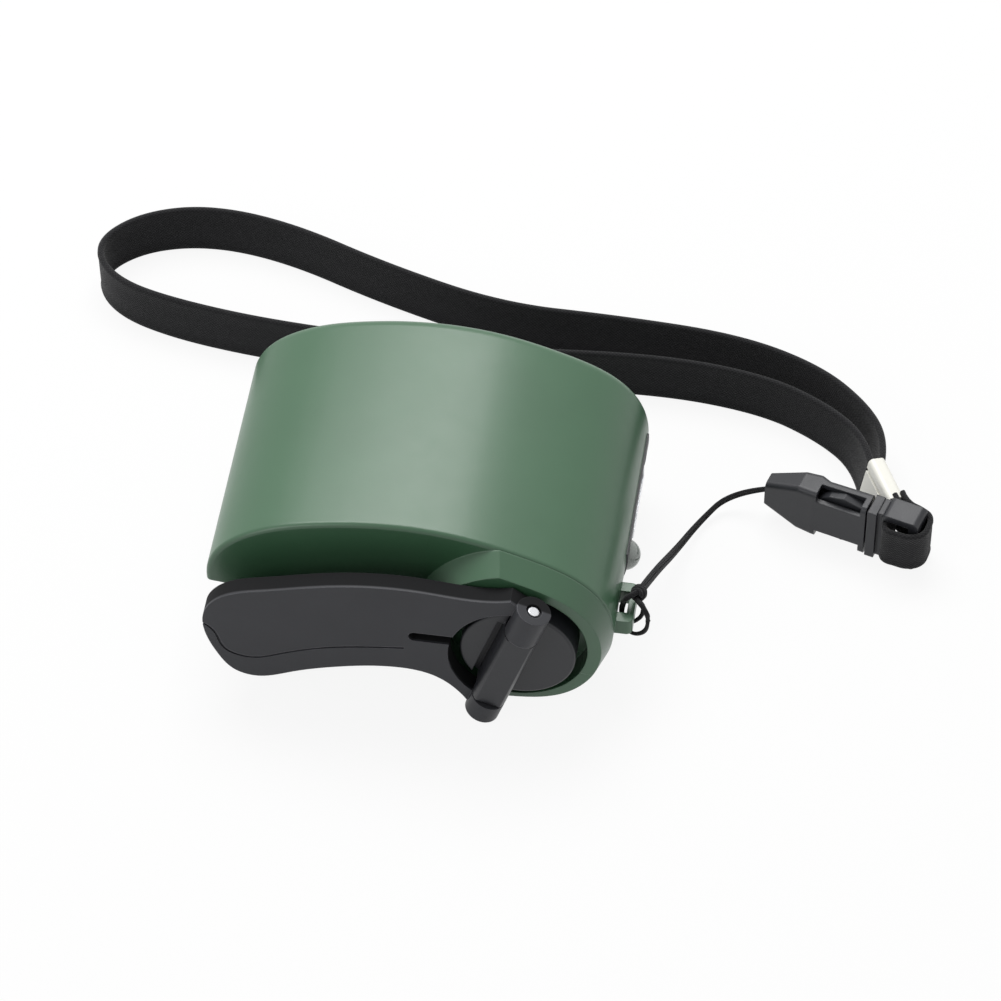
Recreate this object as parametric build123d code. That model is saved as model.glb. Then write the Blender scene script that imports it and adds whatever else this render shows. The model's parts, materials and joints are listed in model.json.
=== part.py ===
from build123d import *
import math
import os

os.makedirs("parts", exist_ok=True)

# ---------------------------------------------------------------- driving dimensions (mm)
# Local frame used while modelling: x along the body, y from the crank face backwards,
# z up, with the crank axis at x = 0, z = 0 and the crank face of the body at y = 0.
BODY_DEPTH = 44.4
BODY_LEFT = 49.1
WALL = 1.8
LOBE_R = 13.6
LOBE_X = 0.3
LOBE_Z = 0.1
AXIS_HEIGHT = LOBE_R - LOBE_Z
# outline points left of the lobe: (distance from the left end, height over the lobe's top)
TOP_POINTS = ((1.6, -5.1), (8.1, 0.5), (17.6, 3.7), (29.6, 5.1), (40.6, 4.0), (49.3, 1.4))
# and under it: (distance from the left end, height over the base)
LOW_POINTS = ((46.1, 0.0), (31.1, 0.0), (16.1, 0.0), (5.9, 3.9), (1.1, 9.7))
BASE_DIP = 0.2
RIM_FILLET = 0.7
BACK_FILLET = 2.2
LOWER_LEFT = 3.1 - BODY_LEFT
CORNER_Z = 1.9
SEAM_Z0 = -3.96
SEAM_SLOPE = -0.1208
BIG = 140.0
INSET_POINTS = 36

COLLAR_FRONT = 4.2
COLLAR_BASE_R = 16.9
COLLAR_TOP_R = 15.2
COLLAR_SLOPE = 1.3
WELL_R = 11.4
WELL_X = -0.9

DISC_R = 8.9
DISC_FRONT = 6.0
DISC_BACK = 1.0
ARM_BACK = 4.6
ARM_FRONT = 7.6
BITE_R = 10.5
SLOT_W = 1.9
SLOT_LEFT = -15.6
SLOT_Z = 3.0
STYLE_GROOVE_W = 0.4
STYLE_GROOVE_DEEP = 0.3

HINGE_X = -1.3
HINGE_Y = -7.6
HINGE_TILT = 72.0
KNUCKLE_R = 2.7
KNUCKLE_LOW = -8.9
KNUCKLE_HIGH = 6.6
KNUCKLE_FLAT = 1.9
EAR_HIGH_A = 6.9
EAR_HIGH_B = 12.8
EAR_LOW_A = -9.2
EAR_LOW_B = -12.6
PIN_R = 0.85
PIN_SINK = 0.1
PIN_RECESS_R = 1.25
PIN_RECESS = 0.6
SPIN_CLEAR = 0.05
EAR_RELIEF = 0.35
KNUCKLE_GROOVE_W = 1.1
KNUCKLE_GROOVE_DEEP = 1.4

KNOB_X = -41.3
KNOB_Z = -0.6
KNOB_R = 4.0
KNOB_TIP = 0.7
KNOB_GAP = 0.15
KNOB_AXLE_R = 1.2
KNOB_HEAD_R = 2.2
KNOB_SEAT_Y = 1.0 - ARM_FRONT

MODULE = 0.5
PRESSURE = 25.0
ADDENDUM = 0.8
DEDENDUM = 1.1
TOOTH_THIN = 0.06
DRIVE_TEETH = 42
PINION_TEETH = 10
WHEEL_TEETH = 34
STAGE_1_ANGLE = 163.9
STAGE_2_ANGLE = 178.0
STAGE_3_ANGLE = 186.3
LAYER_A = (2.4, 5.0)
LAYER_B = (5.6, 7.4)
LAYER_C = (8.0, 9.8)

SHAFT_R = 2.5
SHAFT_TAIL_R = 1.5
SHAFT_STEP_Y = 5.4
SHAFT_END_Y = 13.1
BUSH_R = 3.3
BUSH_FLANGE_R = 4.2
BUSH_FLANGE_T = 0.5
CLIP_R = 2.7
CLIP_Y = (12.1, 12.7)
IDLER_PIN_R = 1.0
PIN_BOSS_R = 2.4

PLATE_Y = (10.8, 12.0)
PLATE_GAP = 0.5
PLATE_LOW = -6.5
POST_R = 1.9
POSTS = ((-4.4, 12.7), (-18.8, 14.6), (-43.2, 8.0))
PLATE_SCREW_R = 0.8
PLATE_HEAD_R = 1.4
PLATE_HEAD_T = 0.9

CAN_R = 8.6
CAN_WALL = 0.8
CAN_Y = (12.0, 29.5)
CAN_NECK_R = 3.0
MAGNET_R = 6.4
CORE_R = 6.2
CORE_Y = (15.5, 24.5)
CORE_HUB_R = 2.2
COIL_Y = (14.6, 25.2)
COIL_R = 5.5
ROTOR_SHAFT_R = 1.0
COMM_R = 1.9
COMM_Y = (25.4, 27.6)
END_CAP_Y = (28.0, 29.5)
LEAD_RUNS = (END_CAP_Y[1] + 2.1, END_CAP_Y[1] + 3.9)
BRUSH_GAP = 0.02

PANEL_PROUD = 0.25
PANEL_T = 1.15
PANEL_Y = (15.2, BODY_DEPTH - 3.4)
PANEL_Z = (-5.5, 1.3)
USB_W = 13.1
USB_H = 5.72
USB_SHEET = 0.3
USB_LEN = 13.0
USB_Y = BODY_DEPTH - 13.4
PORT_Z = -2.2
LED_R = 2.5
LED_Y = 18.4
LED_FLANGE_R = 2.9
LED_CENTRE_X = LOBE_X + LOBE_R - 0.6
LED_STEM = 3.7
LED_LEAD_LEN = 1.2
BOARD_T = 1.2
BOARD_GAP = 0.44
BOARD_TOP = PORT_Z - USB_H / 2
BOARD_EDGE = math.sqrt((LOBE_R - WALL) ** 2 - (BOARD_TOP - BOARD_T - LOBE_Z) ** 2)
BOARD_X = (-9.0, LOBE_X + BOARD_EDGE - BOARD_GAP)
BOARD_Y = (14.2, BODY_DEPTH - WALL - 0.6)
BOARD_POSTS = (
    (BOARD_X[0] + 3.0, BOARD_Y[0] + 2.8),
    (BOARD_X[0] + 3.0, BOARD_Y[1] - 2.6),
    (BOARD_X[1] - 3.2, BOARD_Y[0] + 2.8),
    (BOARD_X[1] - 3.2, BOARD_Y[1] - 2.1),
)
BOARD_POST_R = 1.9
CHIP_AT = (-4.0, 20.5)
CHIP_SIZE = (4.0, 5.0, 1.6)
COIL_AT = (-4.0, BODY_DEPTH - 9.5)
CELL_GAP = 0.2
CELL_R = 5.4
CELL_X = (-34.0, -12.0)
CELL_Y = BODY_DEPTH - WALL - CELL_R - CELL_GAP
RIBS_Y = (17.5, 25.0)
RIB_T = 1.2

BOLT_SPOTS = (
    (-38.3, BODY_DEPTH - 7.6),
    (-38.5, 5.3),
    (-16.3, 17.2),
    (-16.3, BODY_DEPTH - 16.4),
)
BOLT_POST_R = 2.3
BOLT_R = 1.0
BOLT_HEAD_R = 1.9
BOLT_HEAD_T = 1.2
BOLT_BITE = 5.0

LUG_X = LOBE_X + LOBE_R + 2.6
LUG_BAR = 1.1
LUG_Y = (2.4, 10.4)
LUG_HOLE_Y = (4.3, 8.6)
LUG_Z = (-2.4, 0.4)
LOOP_R = 0.55
CORD_R = 0.7
KNOT_R = 1.3
KNOT_LEN = 2.6

STRAP_W = 8.0
STRAP_T = 1.1
BUCKLE_AT = (33.4, 41.0)
BUCKLE_TURN = -16.2
BUCKLE_BODY_L = 17.3
BUCKLE_NOSE = (3.2, 5.0)
BUCKLE_SHOULDER_AT = 5.7
BUCKLE_SHOULDER = (4.4, 9.5)
BUCKLE_W = 10.4
BUCKLE_T = 4.8
BUCKLE_MOUTH_T = 4.1
MOUTH_MIDDLE = (BUCKLE_MOUTH_T - BUCKLE_T) / 2
BUCKLE_WALL = 1.1
NOTCH = (8.9, 16.4)
NOTCH_DEEP = 1.9
NOTCH_BACK = 0.15
FLANGE_GAP = 0.3
FLANGE_T = 1.5
NECK_T = 0.8
RING_LEN = 6.9
RING_T = 4.2
RING_BAR = 1.2
RING_END_BAR = 1.6
CRIMP_AT = (51.27, 42.71)
CRIMP_TURN = -63.7
CRIMP_LEAN = -10.0
CRIMP_LEN = 8.8
CRIMP_W = 2.8
CRIMP_H = 8.4
TAB_T = 0.8
TAB_CLEAR = 0.1
TAB_REACH = 3.8

# how far the parts reach from the crank axis and crank face, for centring the whole thing
REACH_RIGHT = LUG_X
REACH_FRONT = -HINGE_Y + KNUCKLE_R
HOME = Pos(
    (BODY_LEFT - REACH_RIGHT) / 2,
    (REACH_FRONT - BODY_DEPTH) / 2,
    AXIS_HEIGHT,
)

STAGE_1_DIST = MODULE * (DRIVE_TEETH + PINION_TEETH) / 2
STAGE_2_DIST = MODULE * (WHEEL_TEETH + PINION_TEETH) / 2


def step_from(start, angle, distance):
    turn = math.radians(angle)
    return (start[0] + distance * math.cos(turn), start[1] + distance * math.sin(turn))


IDLER_1 = step_from((0.0, 0.0), STAGE_1_ANGLE, STAGE_1_DIST)
IDLER_2 = step_from(IDLER_1, STAGE_2_ANGLE, STAGE_2_DIST)
ROTOR = step_from(IDLER_2, STAGE_3_ANGLE, STAGE_2_DIST)


# ---------------------------------------------------------------- small helpers
def slab(face, y0, y1):
    """Extrude a drawing made in (x, z) from depth y0 to depth y1."""
    placed = Plane.XZ.offset(-y0) * face
    return extrude(placed, amount=y1 - y0, dir=(0, 1, 0))


def rod(x, z, radius, y0, y1):
    return slab(Pos(x, z) * Circle(radius), y0, y1)


def pillar(x, y, radius, z0, z1):
    return Pos(x, y, (z0 + z1) / 2) * Cylinder(radius, z1 - z0)


def block(x0, x1, y0, y1, z0, z1):
    middle = Pos((x0 + x1) / 2, (y0 + y1) / 2, (z0 + z1) / 2)
    return middle * Box(x1 - x0, y1 - y0, z1 - z0)


def along_hinge(shape):
    """Stand a shape modelled along local z on the hinge axis: x forward, y right."""
    turn = math.radians(HINGE_TILT)
    axis = (math.cos(turn), 0, math.sin(turn))
    frame = Plane(origin=(HINGE_X, HINGE_Y, 0), x_dir=(0, -1, 0), z_dir=axis)
    return frame.location * shape


def hinge_rod(radius, low, high):
    return along_hinge(Pos(0, 0, (low + high) / 2) * Cylinder(radius, high - low))


def save(shape, name, colour):
    placed = HOME * shape
    placed.label = name
    placed.color = Color(*colour)
    export_step(placed, "parts/" + name + ".step")
    print(name, round(placed.volume, 1))


# ---------------------------------------------------------------- body outline
def lobe_point(degrees):
    turn = math.radians(degrees)
    return (LOBE_X + LOBE_R * math.cos(turn), LOBE_Z + LOBE_R * math.sin(turn))


def outline():
    """The body's end view, one smooth closed curve that dips just under the flat base."""
    crest = LOBE_Z + LOBE_R
    dip = LOBE_Z - LOBE_R - BASE_DIP
    points = [(-BODY_LEFT, CORNER_Z)]
    points += [(along - BODY_LEFT, crest + rise) for along, rise in TOP_POINTS]
    points += [lobe_point(degrees) for degrees in (56, 30, 0, -30, -60)]
    points += [(along - BODY_LEFT, dip + rise) for along, rise in LOW_POINTS]
    route = Spline(*points, periodic=True)
    face = make_face(route).face()
    return face if face.normal_at().Z > 0 else -face


def inner_outline(inset):
    """The end view drawn again, every point moved inwards by the same amount."""
    edge = outline().outer_wire().edges()[0]
    centre = Vector(-18, 2)
    points = []
    for k in range(INSET_POINTS):
        along = edge % (k / INSET_POINTS)
        here = edge @ (k / INSET_POINTS)
        inward = Vector(-along.Y, along.X)
        if inward.dot(centre - here) < 0:
            inward = inward * -1
        points.append(here + inward.normalized() * inset)
    face = make_face(Spline(*points, periodic=True)).face()
    return face if face.normal_at().Z > 0 else -face


def shell_solid():
    solid = slab(outline(), 0, BODY_DEPTH)
    solid = fillet(solid.faces().sort_by(Axis.Y)[-1].edges(), BACK_FILLET)
    solid = fillet(solid.faces().sort_by(Axis.Y)[0].edges(), RIM_FILLET)
    return solid & block(-BIG, BIG, -BIG, BIG, LOBE_Z - LOBE_R, BIG)


def cavity():
    inner = slab(inner_outline(WALL), WALL, BODY_DEPTH - WALL)
    inner = inner & block(-BIG, BIG, 0, BIG, floor_z(), BIG)
    return inner - block(-BIG, LOWER_LEFT + WALL, 0, BIG, -BIG, CORNER_Z + WALL)


def collar():
    """Raised guard round the hub: a cone kept inside the body's own sloped outline."""
    cone = Plane.XZ * Circle(COLLAR_BASE_R)
    tip = Plane.XZ.offset(COLLAR_FRONT) * Circle(COLLAR_TOP_R)
    drum = loft([cone, tip])
    guard = slab(outline(), -COLLAR_FRONT, 0)
    front = guard.faces().sort_by(Axis.Y)[0]
    guard = chamfer(
        front.edges(), length=COLLAR_SLOPE, length2=COLLAR_FRONT - 0.1, reference=front
    )
    ring = (drum & guard) & block(-BIG, BIG, -BIG, BIG, LOBE_Z - LOBE_R, BIG)
    return ring - rod(WELL_X, 0, WELL_R, -COLLAR_FRONT - 1, 0)


def seam_half(above):
    """A huge block over (or under) the sloping joint between the two shells."""
    y0 = -20
    y1 = 80
    za = SEAM_Z0 - SEAM_SLOPE * BIG
    zb = SEAM_Z0 + SEAM_SLOPE * BIG
    far = BIG if above else -BIG
    face = make_face(Polyline((-BIG, za), (BIG, zb), (BIG, far), (-BIG, far), close=True))
    return slab(face, y0, y1)


def seam_z(x):
    return SEAM_Z0 + SEAM_SLOPE * x


def lug():
    bar = block(LOBE_X + LOBE_R - 1.2, LUG_X, LUG_Y[0], LUG_Y[1], LUG_Z[0], LUG_Z[1])
    bar = fillet(bar.edges().filter_by(Axis.Z).sort_by(Axis.X)[-2:], 1.0)
    hole = block(0, LUG_X - LUG_BAR, LUG_HOLE_Y[0], LUG_HOLE_Y[1], LUG_Z[0] - 1, LUG_Z[1] + 1)
    return bar - hole


def panel_zone(r_out, r_in, grow):
    """Part of a ring round the right-hand lobe, where the side panel sits."""
    ring = rod(LOBE_X, LOBE_Z, r_out, PANEL_Y[0] - grow, PANEL_Y[1] + grow)
    ring = ring - rod(LOBE_X, LOBE_Z, r_in, PANEL_Y[0] - 5, PANEL_Y[1] + 5)
    return ring & block(0, 40, 0, 60, PANEL_Z[0] - grow, PANEL_Z[1] + grow)


def usb_cut():
    y0 = USB_Y - USB_W / 2
    z0 = PORT_Z - USB_H / 2
    return block(5, 30, y0, y0 + USB_W, z0, z0 + USB_H)


def led_cut():
    return Pos(15, LED_Y, PORT_Z) * Rot(0, 90, 0) * Cylinder(LED_R, 12)


def housing_full():
    return shell_solid() + collar()


def upper_housing(full, room):
    shell = (full - room) & seam_half(True)
    posts = [rod(x, z, POST_R, WALL - 0.5, PLATE_Y[0]) for x, z in POSTS]
    pins = [rod(x, z, PIN_BOSS_R, WALL - 0.5, WALL + 0.4) for x, z in (IDLER_1, IDLER_2)]
    towers = []
    for x, y in BOLT_SPOTS:
        tower = pillar(x, y, BOLT_POST_R, -20, 25) & seam_half(True) & room
        towers.append(tower)
    ribs = []
    for y in RIBS_Y:
        rib = block(ROTOR[0] - 5, ROTOR[0] + 5, y, y + RIB_T, 8, 25) & room
        ribs.append(rib - rod(ROTOR[0], ROTOR[1], CAN_R, y - 1, y + 3))
    for extra in posts + pins + towers + ribs:
        shell = shell + extra
    shell = shell + (lug() - rod(LOBE_X, LOBE_Z, LOBE_R - WALL, 0, 30))
    shell = shell - panel_zone(LOBE_R + 2, LOBE_R + PANEL_PROUD - PANEL_T, 0)
    shell = shell - usb_cut() - led_cut()
    shell = shell - rod(0, 0, BUSH_R, -3, WALL + 1)
    for x, z in (IDLER_1, IDLER_2):
        shell = shell - rod(x, z, IDLER_PIN_R, 0.8, 5)
    for x, z in POSTS:
        shell = shell - rod(x, z, PLATE_SCREW_R, PLATE_Y[0] - 4.5, PLATE_Y[0] + 1)
    for x, y in BOLT_SPOTS:
        shell = shell - pillar(x, y, BOLT_R, seam_z(x) - 3, seam_z(x) + BOLT_BITE)
    return shell


def floor_z():
    return LOBE_Z - LOBE_R + WALL


def lower_housing(full, room):
    shell = (full - room) & seam_half(False)
    shell = shell - block(-BIG, LOWER_LEFT, -20, BIG, -BIG, BIG)
    for x, y in BOLT_SPOTS:
        shell = shell + (pillar(x, y, BOLT_POST_R, -16, 20) & seam_half(False) & room)
    for x, y in BOARD_POSTS:
        shell = shell + (pillar(x, y, BOARD_POST_R, -20, BOARD_TOP - BOARD_T) & room)
    for y in RIBS_Y:
        rib = block(ROTOR[0] - 7, ROTOR[0] + 8, y, y + RIB_T, -20, -1.5) & room
        shell = shell + (rib - rod(ROTOR[0], ROTOR[1], CAN_R, y - 1, y + 3))
    for x in (CELL_X[0] + 3, CELL_X[1] - 4):
        rib = block(x, x + RIB_T, CELL_Y - 5, BODY_DEPTH - WALL, -20, -7.5) & room
        cell = Pos(x, CELL_Y, floor_z() + CELL_R) * Rot(0, 90, 0) * Cylinder(CELL_R, 9)
        shell = shell + (rib - cell)
    for x, y in BOLT_SPOTS:
        shell = shell - pillar(x, y, BOLT_R, -20, 10)
        shell = shell - pillar(x, y, BOLT_HEAD_R, -20, bolt_seat(x))
    for x, y in BOARD_POSTS[:2]:
        shell = shell - pillar(x, y, PLATE_SCREW_R, BOARD_TOP - BOARD_T - 4, 0)
    return shell - panel_zone(LOBE_R + 2, LOBE_R + PANEL_PROUD - PANEL_T, 0) - usb_cut()


def bolt_seat(x):
    return seam_z(x) - 3.2


def housing_screws():
    parts = []
    for x, y in BOLT_SPOTS:
        seat = bolt_seat(x)
        head = pillar(x, y, BOLT_HEAD_R, seat - BOLT_HEAD_T, seat)
        cross = block(x - 1.2, x + 1.2, y - 0.25, y + 0.25, seat - 3, seat - 0.6)
        cross = cross + block(x - 0.25, x + 0.25, y - 1.2, y + 1.2, seat - 3, seat - 0.6)
        parts.append(head + pillar(x, y, BOLT_R, seat, seam_z(x) + BOLT_BITE) - cross)
    return Compound(parts)


def side_panel():
    plate = panel_zone(LOBE_R + PANEL_PROUD, LOBE_R + PANEL_PROUD - PANEL_T, 0)
    return plate - usb_cut() - led_cut()


# ---------------------------------------------------------------- electrics
def usb_socket():
    y0 = USB_Y - USB_W / 2
    z0 = PORT_Z - USB_H / 2
    x1 = LOBE_X + LOBE_R
    x0 = x1 - USB_LEN
    can = block(x0, x1, y0, y0 + USB_W, z0, z0 + USB_H)
    t = USB_SHEET
    return can - block(x0 + t, x1 + 1, y0 + t, y0 + USB_W - t, z0 + t, z0 + USB_H - t)


def usb_tongue():
    z1 = PORT_Z + USB_H / 2 - USB_SHEET
    x1 = LOBE_X + LOBE_R
    x0 = x1 - USB_LEN + USB_SHEET
    root = block(x0, x0 + 3, USB_Y - 6.2, USB_Y + 6.2, PORT_Z - 2.5, z1)
    return root + block(x0, x1 - 0.8, USB_Y - 5.6, USB_Y + 5.6, z1 - 1.8, z1)


def led_lamp():
    base_x = LED_CENTRE_X - LED_STEM
    lie = Pos(0, LED_Y, PORT_Z) * Rot(0, 90, 0)
    stem = lie * Pos(0, 0, (base_x + LED_CENTRE_X) / 2) * Cylinder(LED_R, LED_CENTRE_X - base_x)
    rim = lie * Pos(0, 0, base_x + 0.5) * Cylinder(LED_FLANGE_R, 1.0)
    rim = rim - block(0, 20, LED_Y - 5, LED_Y + 5, BOARD_TOP - 5, BOARD_TOP + 0.1)
    dome = Pos(LED_CENTRE_X, LED_Y, PORT_Z) * Sphere(LED_R)
    dome = dome & block(LED_CENTRE_X, 30, 0, 60, -20, 20)
    return stem + rim + dome


def led_leads():
    parts = []
    x1 = LED_CENTRE_X - LED_STEM
    x0 = x1 - LED_LEAD_LEN
    for y in (LED_Y - 1.27, LED_Y + 1.27):
        out = block(x0, x1, y - 0.25, y + 0.25, PORT_Z - 0.25, PORT_Z + 0.25)
        down = block(x0, x0 + 0.5, y - 0.25, y + 0.25, BOARD_TOP, PORT_Z + 0.25)
        parts.append(out + down)
    return Compound(parts)


def circuit_board():
    z0 = BOARD_TOP - BOARD_T
    board = block(BOARD_X[0], BOARD_X[1], BOARD_Y[0], BOARD_Y[1], z0, BOARD_TOP)
    for x, y in BOARD_POSTS[:2]:
        board = board - pillar(x, y, PLATE_SCREW_R, z0 - 1, BOARD_TOP + 1)
    return board


def board_screws():
    parts = []
    for x, y in BOARD_POSTS[:2]:
        head = pillar(x, y, PLATE_HEAD_R, BOARD_TOP, BOARD_TOP + PLATE_HEAD_T)
        parts.append(head + pillar(x, y, PLATE_SCREW_R, BOARD_TOP - BOARD_T - 4, BOARD_TOP))
    return Compound(parts)


def rectifier_chip():
    x, y = CHIP_AT
    long_x, long_y, thick = CHIP_SIZE
    return block(x, x + long_x, y, y + long_y, BOARD_TOP, BOARD_TOP + thick)


def storage_coil():
    top = BOARD_TOP + 3.0
    x, y = COIL_AT
    return pillar(x, y, 2.6, BOARD_TOP, top) - pillar(x, y, 0.8, top - 1.5, top + 1)


def storage_cell():
    middle = Pos((CELL_X[0] + CELL_X[1]) / 2, CELL_Y, floor_z() + CELL_R) * Rot(0, 90, 0)
    can = middle * Cylinder(CELL_R, CELL_X[1] - CELL_X[0])
    groove = middle * Pos(0, 0, -8.4) * (Cylinder(CELL_R + 1, 1.0) - Cylinder(CELL_R - 0.4, 1.0))
    return can - groove


def lead_wire(y_run, board_x, side):
    """A thin insulated wire from the generator's end cap to the board."""
    x0 = ROTOR[0] + side * 4.6
    z0 = ROTOR[1] + 2.6
    route = FilletPolyline(
        (x0, END_CAP_Y[1], z0),
        (x0, y_run, z0),
        (board_x, y_run, z0),
        (board_x, y_run, BOARD_TOP),
        radius=1.4,
    )
    return sweep(Plane(origin=route @ 0, z_dir=route % 0) * Circle(0.45), path=route)


# ---------------------------------------------------------------- gear train
def involute(angle):
    return math.tan(angle) - angle


def half_tooth(teeth, radius):
    """Half the angle one tooth fills at a radius, for an involute flank."""
    pitch_r = MODULE * teeth / 2
    base_r = pitch_r * math.cos(math.radians(PRESSURE))
    seen = max(radius, base_r)
    at_pitch = math.pi / (2 * teeth) - TOOTH_THIN / (2 * pitch_r)
    return at_pitch + involute(math.radians(PRESSURE)) - involute(math.acos(base_r / seen))


def gear_face(teeth, phase):
    """A spur gear outline with the middle of one tooth at the angle given."""
    pitch_r = MODULE * teeth / 2
    root = pitch_r - DEDENDUM * MODULE
    tip = pitch_r + ADDENDUM * MODULE
    base_r = pitch_r * math.cos(math.radians(PRESSURE))
    start = max(root, base_r)
    radii = [root] + [start + (tip - start) * k / 3 for k in range(4)]
    if start == root:
        radii = radii[1:]
    points = []
    for tooth in range(teeth):
        centre = math.radians(phase) + 2 * math.pi * tooth / teeth
        for r in radii:
            a = centre - half_tooth(teeth, r)
            points.append((r * math.cos(a), r * math.sin(a)))
        for r in reversed(radii):
            a = centre + half_tooth(teeth, r)
            points.append((r * math.cos(a), r * math.sin(a)))
    return make_face(Polyline(*points, close=True))


def spur(at, teeth, phase, layer):
    return slab(Pos(at[0], at[1]) * gear_face(teeth, phase), layer[0], layer[1])


def meshing_phase(angle, teeth):
    """Phase that puts a gap, not a tooth, towards the gear that drives this one."""
    return angle + 180 + 180 / teeth


def drive_gear():
    gear = spur((0, 0), DRIVE_TEETH, STAGE_1_ANGLE, LAYER_A)
    for turn in range(5):
        spot = step_from((0, 0), STAGE_1_ANGLE + 36 + 72 * turn, 6.4)
        gear = gear - rod(spot[0], spot[1], 2.0, LAYER_A[0] - 1, LAYER_A[1] + 1)
    return gear - rod(0, 0, SHAFT_R, LAYER_A[0] - 1, LAYER_A[1] + 1)


def idler_gear(at, from_angle, to_angle, pinion_layer, wheel_layer):
    pinion = (pinion_layer[0], wheel_layer[0])
    gear = spur(at, PINION_TEETH, meshing_phase(from_angle, PINION_TEETH), pinion)
    gear = gear + spur(at, WHEEL_TEETH, to_angle, wheel_layer)
    bore = rod(at[0], at[1], IDLER_PIN_R + SPIN_CLEAR, 0, 12)
    return gear - bore


def idler_pin(at):
    return rod(at[0], at[1], IDLER_PIN_R, 0.8, PLATE_Y[1])


def gear_plate():
    inner = inner_outline(WALL + PLATE_GAP)
    plate = slab(inner, PLATE_Y[0], PLATE_Y[1]) & block(-60, 60, 0, 40, PLATE_LOW, 40)
    plate = plate - block(-60, LOWER_LEFT + WALL + PLATE_GAP, 0, 40, -20, CORNER_Z + WALL + PLATE_GAP)
    plate = plate - rod(0, 0, SHAFT_TAIL_R + SPIN_CLEAR, 5, 15)
    for x, z in (IDLER_1, IDLER_2):
        plate = plate - rod(x, z, IDLER_PIN_R, 5, 15)
    for x, z in POSTS:
        plate = plate - rod(x, z, PLATE_SCREW_R, 5, 15)
    return plate - rod(ROTOR[0], ROTOR[1], CAN_NECK_R, 5, 15)


def plate_screws():
    parts = []
    for x, z in POSTS:
        head = rod(x, z, PLATE_HEAD_R, PLATE_Y[1], PLATE_Y[1] + PLATE_HEAD_T)
        parts.append(head + rod(x, z, PLATE_SCREW_R, PLATE_Y[0] - 4.5, PLATE_Y[1]))
    return Compound(parts)


def crank_bush():
    sleeve = rod(0, 0, BUSH_R, 0, WALL) + rod(0, 0, BUSH_FLANGE_R, -BUSH_FLANGE_T, 0)
    return sleeve - rod(0, 0, SHAFT_R + SPIN_CLEAR, -2, 5)


# ---------------------------------------------------------------- generator
def generator_can():
    x, z = ROTOR
    can = rod(x, z, CAN_R, CAN_Y[0], CAN_Y[1])
    can = can - rod(x, z, CAN_R - CAN_WALL, CAN_Y[0] + CAN_WALL, CAN_Y[1] + 1)
    can = can + rod(x, z, CAN_NECK_R, PLATE_Y[0], CAN_Y[0] + 1.6)
    return can - rod(x, z, ROTOR_SHAFT_R + SPIN_CLEAR, 5, 20)


def generator_magnets():
    x, z = ROTOR
    ring = rod(x, z, CAN_R - CAN_WALL, 14.6, 26.4) - rod(x, z, MAGNET_R, 10, 30)
    gap = block(x - 3.2, x + 3.2, 10, 30, z - 12, z + 12)
    return ring - gap


def generator_end_cap():
    x, z = ROTOR
    cap = rod(x, z, CAN_R - CAN_WALL, END_CAP_Y[0], END_CAP_Y[1])
    return cap - rod(x, z, ROTOR_SHAFT_R + SPIN_CLEAR, 20, 40)


def generator_brushes():
    x, z = ROTOR
    parts = []
    for side in (-1, 1):
        near = COMM_R + BRUSH_GAP
        a = x + side * near
        b = x + side * (near + 3.2)
        parts.append(block(min(a, b), max(a, b), 26.0, END_CAP_Y[0], z - 1, z + 1))
    return Compound(parts)


def core_star():
    star = Circle(CORE_HUB_R)
    for turn in range(3):
        arm = Rot(0, 0, 90 + 120 * turn) * Pos(CORE_R / 2 - 0.2, 0) * Rectangle(CORE_R - 0.4, 2.2)
        star = star + arm
    return star


def armature_core():
    x, z = ROTOR
    core = slab(Pos(x, z) * core_star(), CORE_Y[0], CORE_Y[1])
    rim = rod(x, z, CORE_R, CORE_Y[0], CORE_Y[1]) - rod(x, z, COIL_R, CORE_Y[0], CORE_Y[1])
    slots = Rectangle(0.01, 0.01)
    for turn in range(3):
        cut = Rot(0, 0, 30 + 120 * turn) * Pos(CORE_R, 0) * Rectangle(4, 1.6)
        slots = slots + cut
    rim = rim - slab(Pos(x, z) * slots, CORE_Y[0] - 1, CORE_Y[1] + 1)
    return core + rim - rod(x, z, ROTOR_SHAFT_R, 5, 40)


def armature_winding():
    x, z = ROTOR
    copper = rod(x, z, COIL_R, COIL_Y[0], COIL_Y[1])
    copper = copper - slab(Pos(x, z) * core_star(), CORE_Y[0], CORE_Y[1])
    return copper - rod(x, z, CORE_HUB_R, 5, 40)


def commutator():
    x, z = ROTOR
    drum = rod(x, z, COMM_R, COMM_Y[0], COMM_Y[1])
    for turn in range(3):
        gap = Rot(0, 0, 120 * turn) * Pos(COMM_R, 0) * Rectangle(1.0, 0.3)
        drum = drum - slab(Pos(x, z) * gap, COMM_Y[0] - 1, COMM_Y[1] + 1)
    return drum - rod(x, z, ROTOR_SHAFT_R, 5, 40)


def rotor_shaft():
    return rod(ROTOR[0], ROTOR[1], ROTOR_SHAFT_R, 7.6, END_CAP_Y[1] + 0.6)


def rotor_pinion():
    layer = (7.8, PLATE_Y[0] - 0.4)
    pinion = spur(ROTOR, PINION_TEETH, meshing_phase(STAGE_3_ANGLE, PINION_TEETH), layer)
    return pinion - rod(ROTOR[0], ROTOR[1], ROTOR_SHAFT_R, 5, 20)


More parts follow.
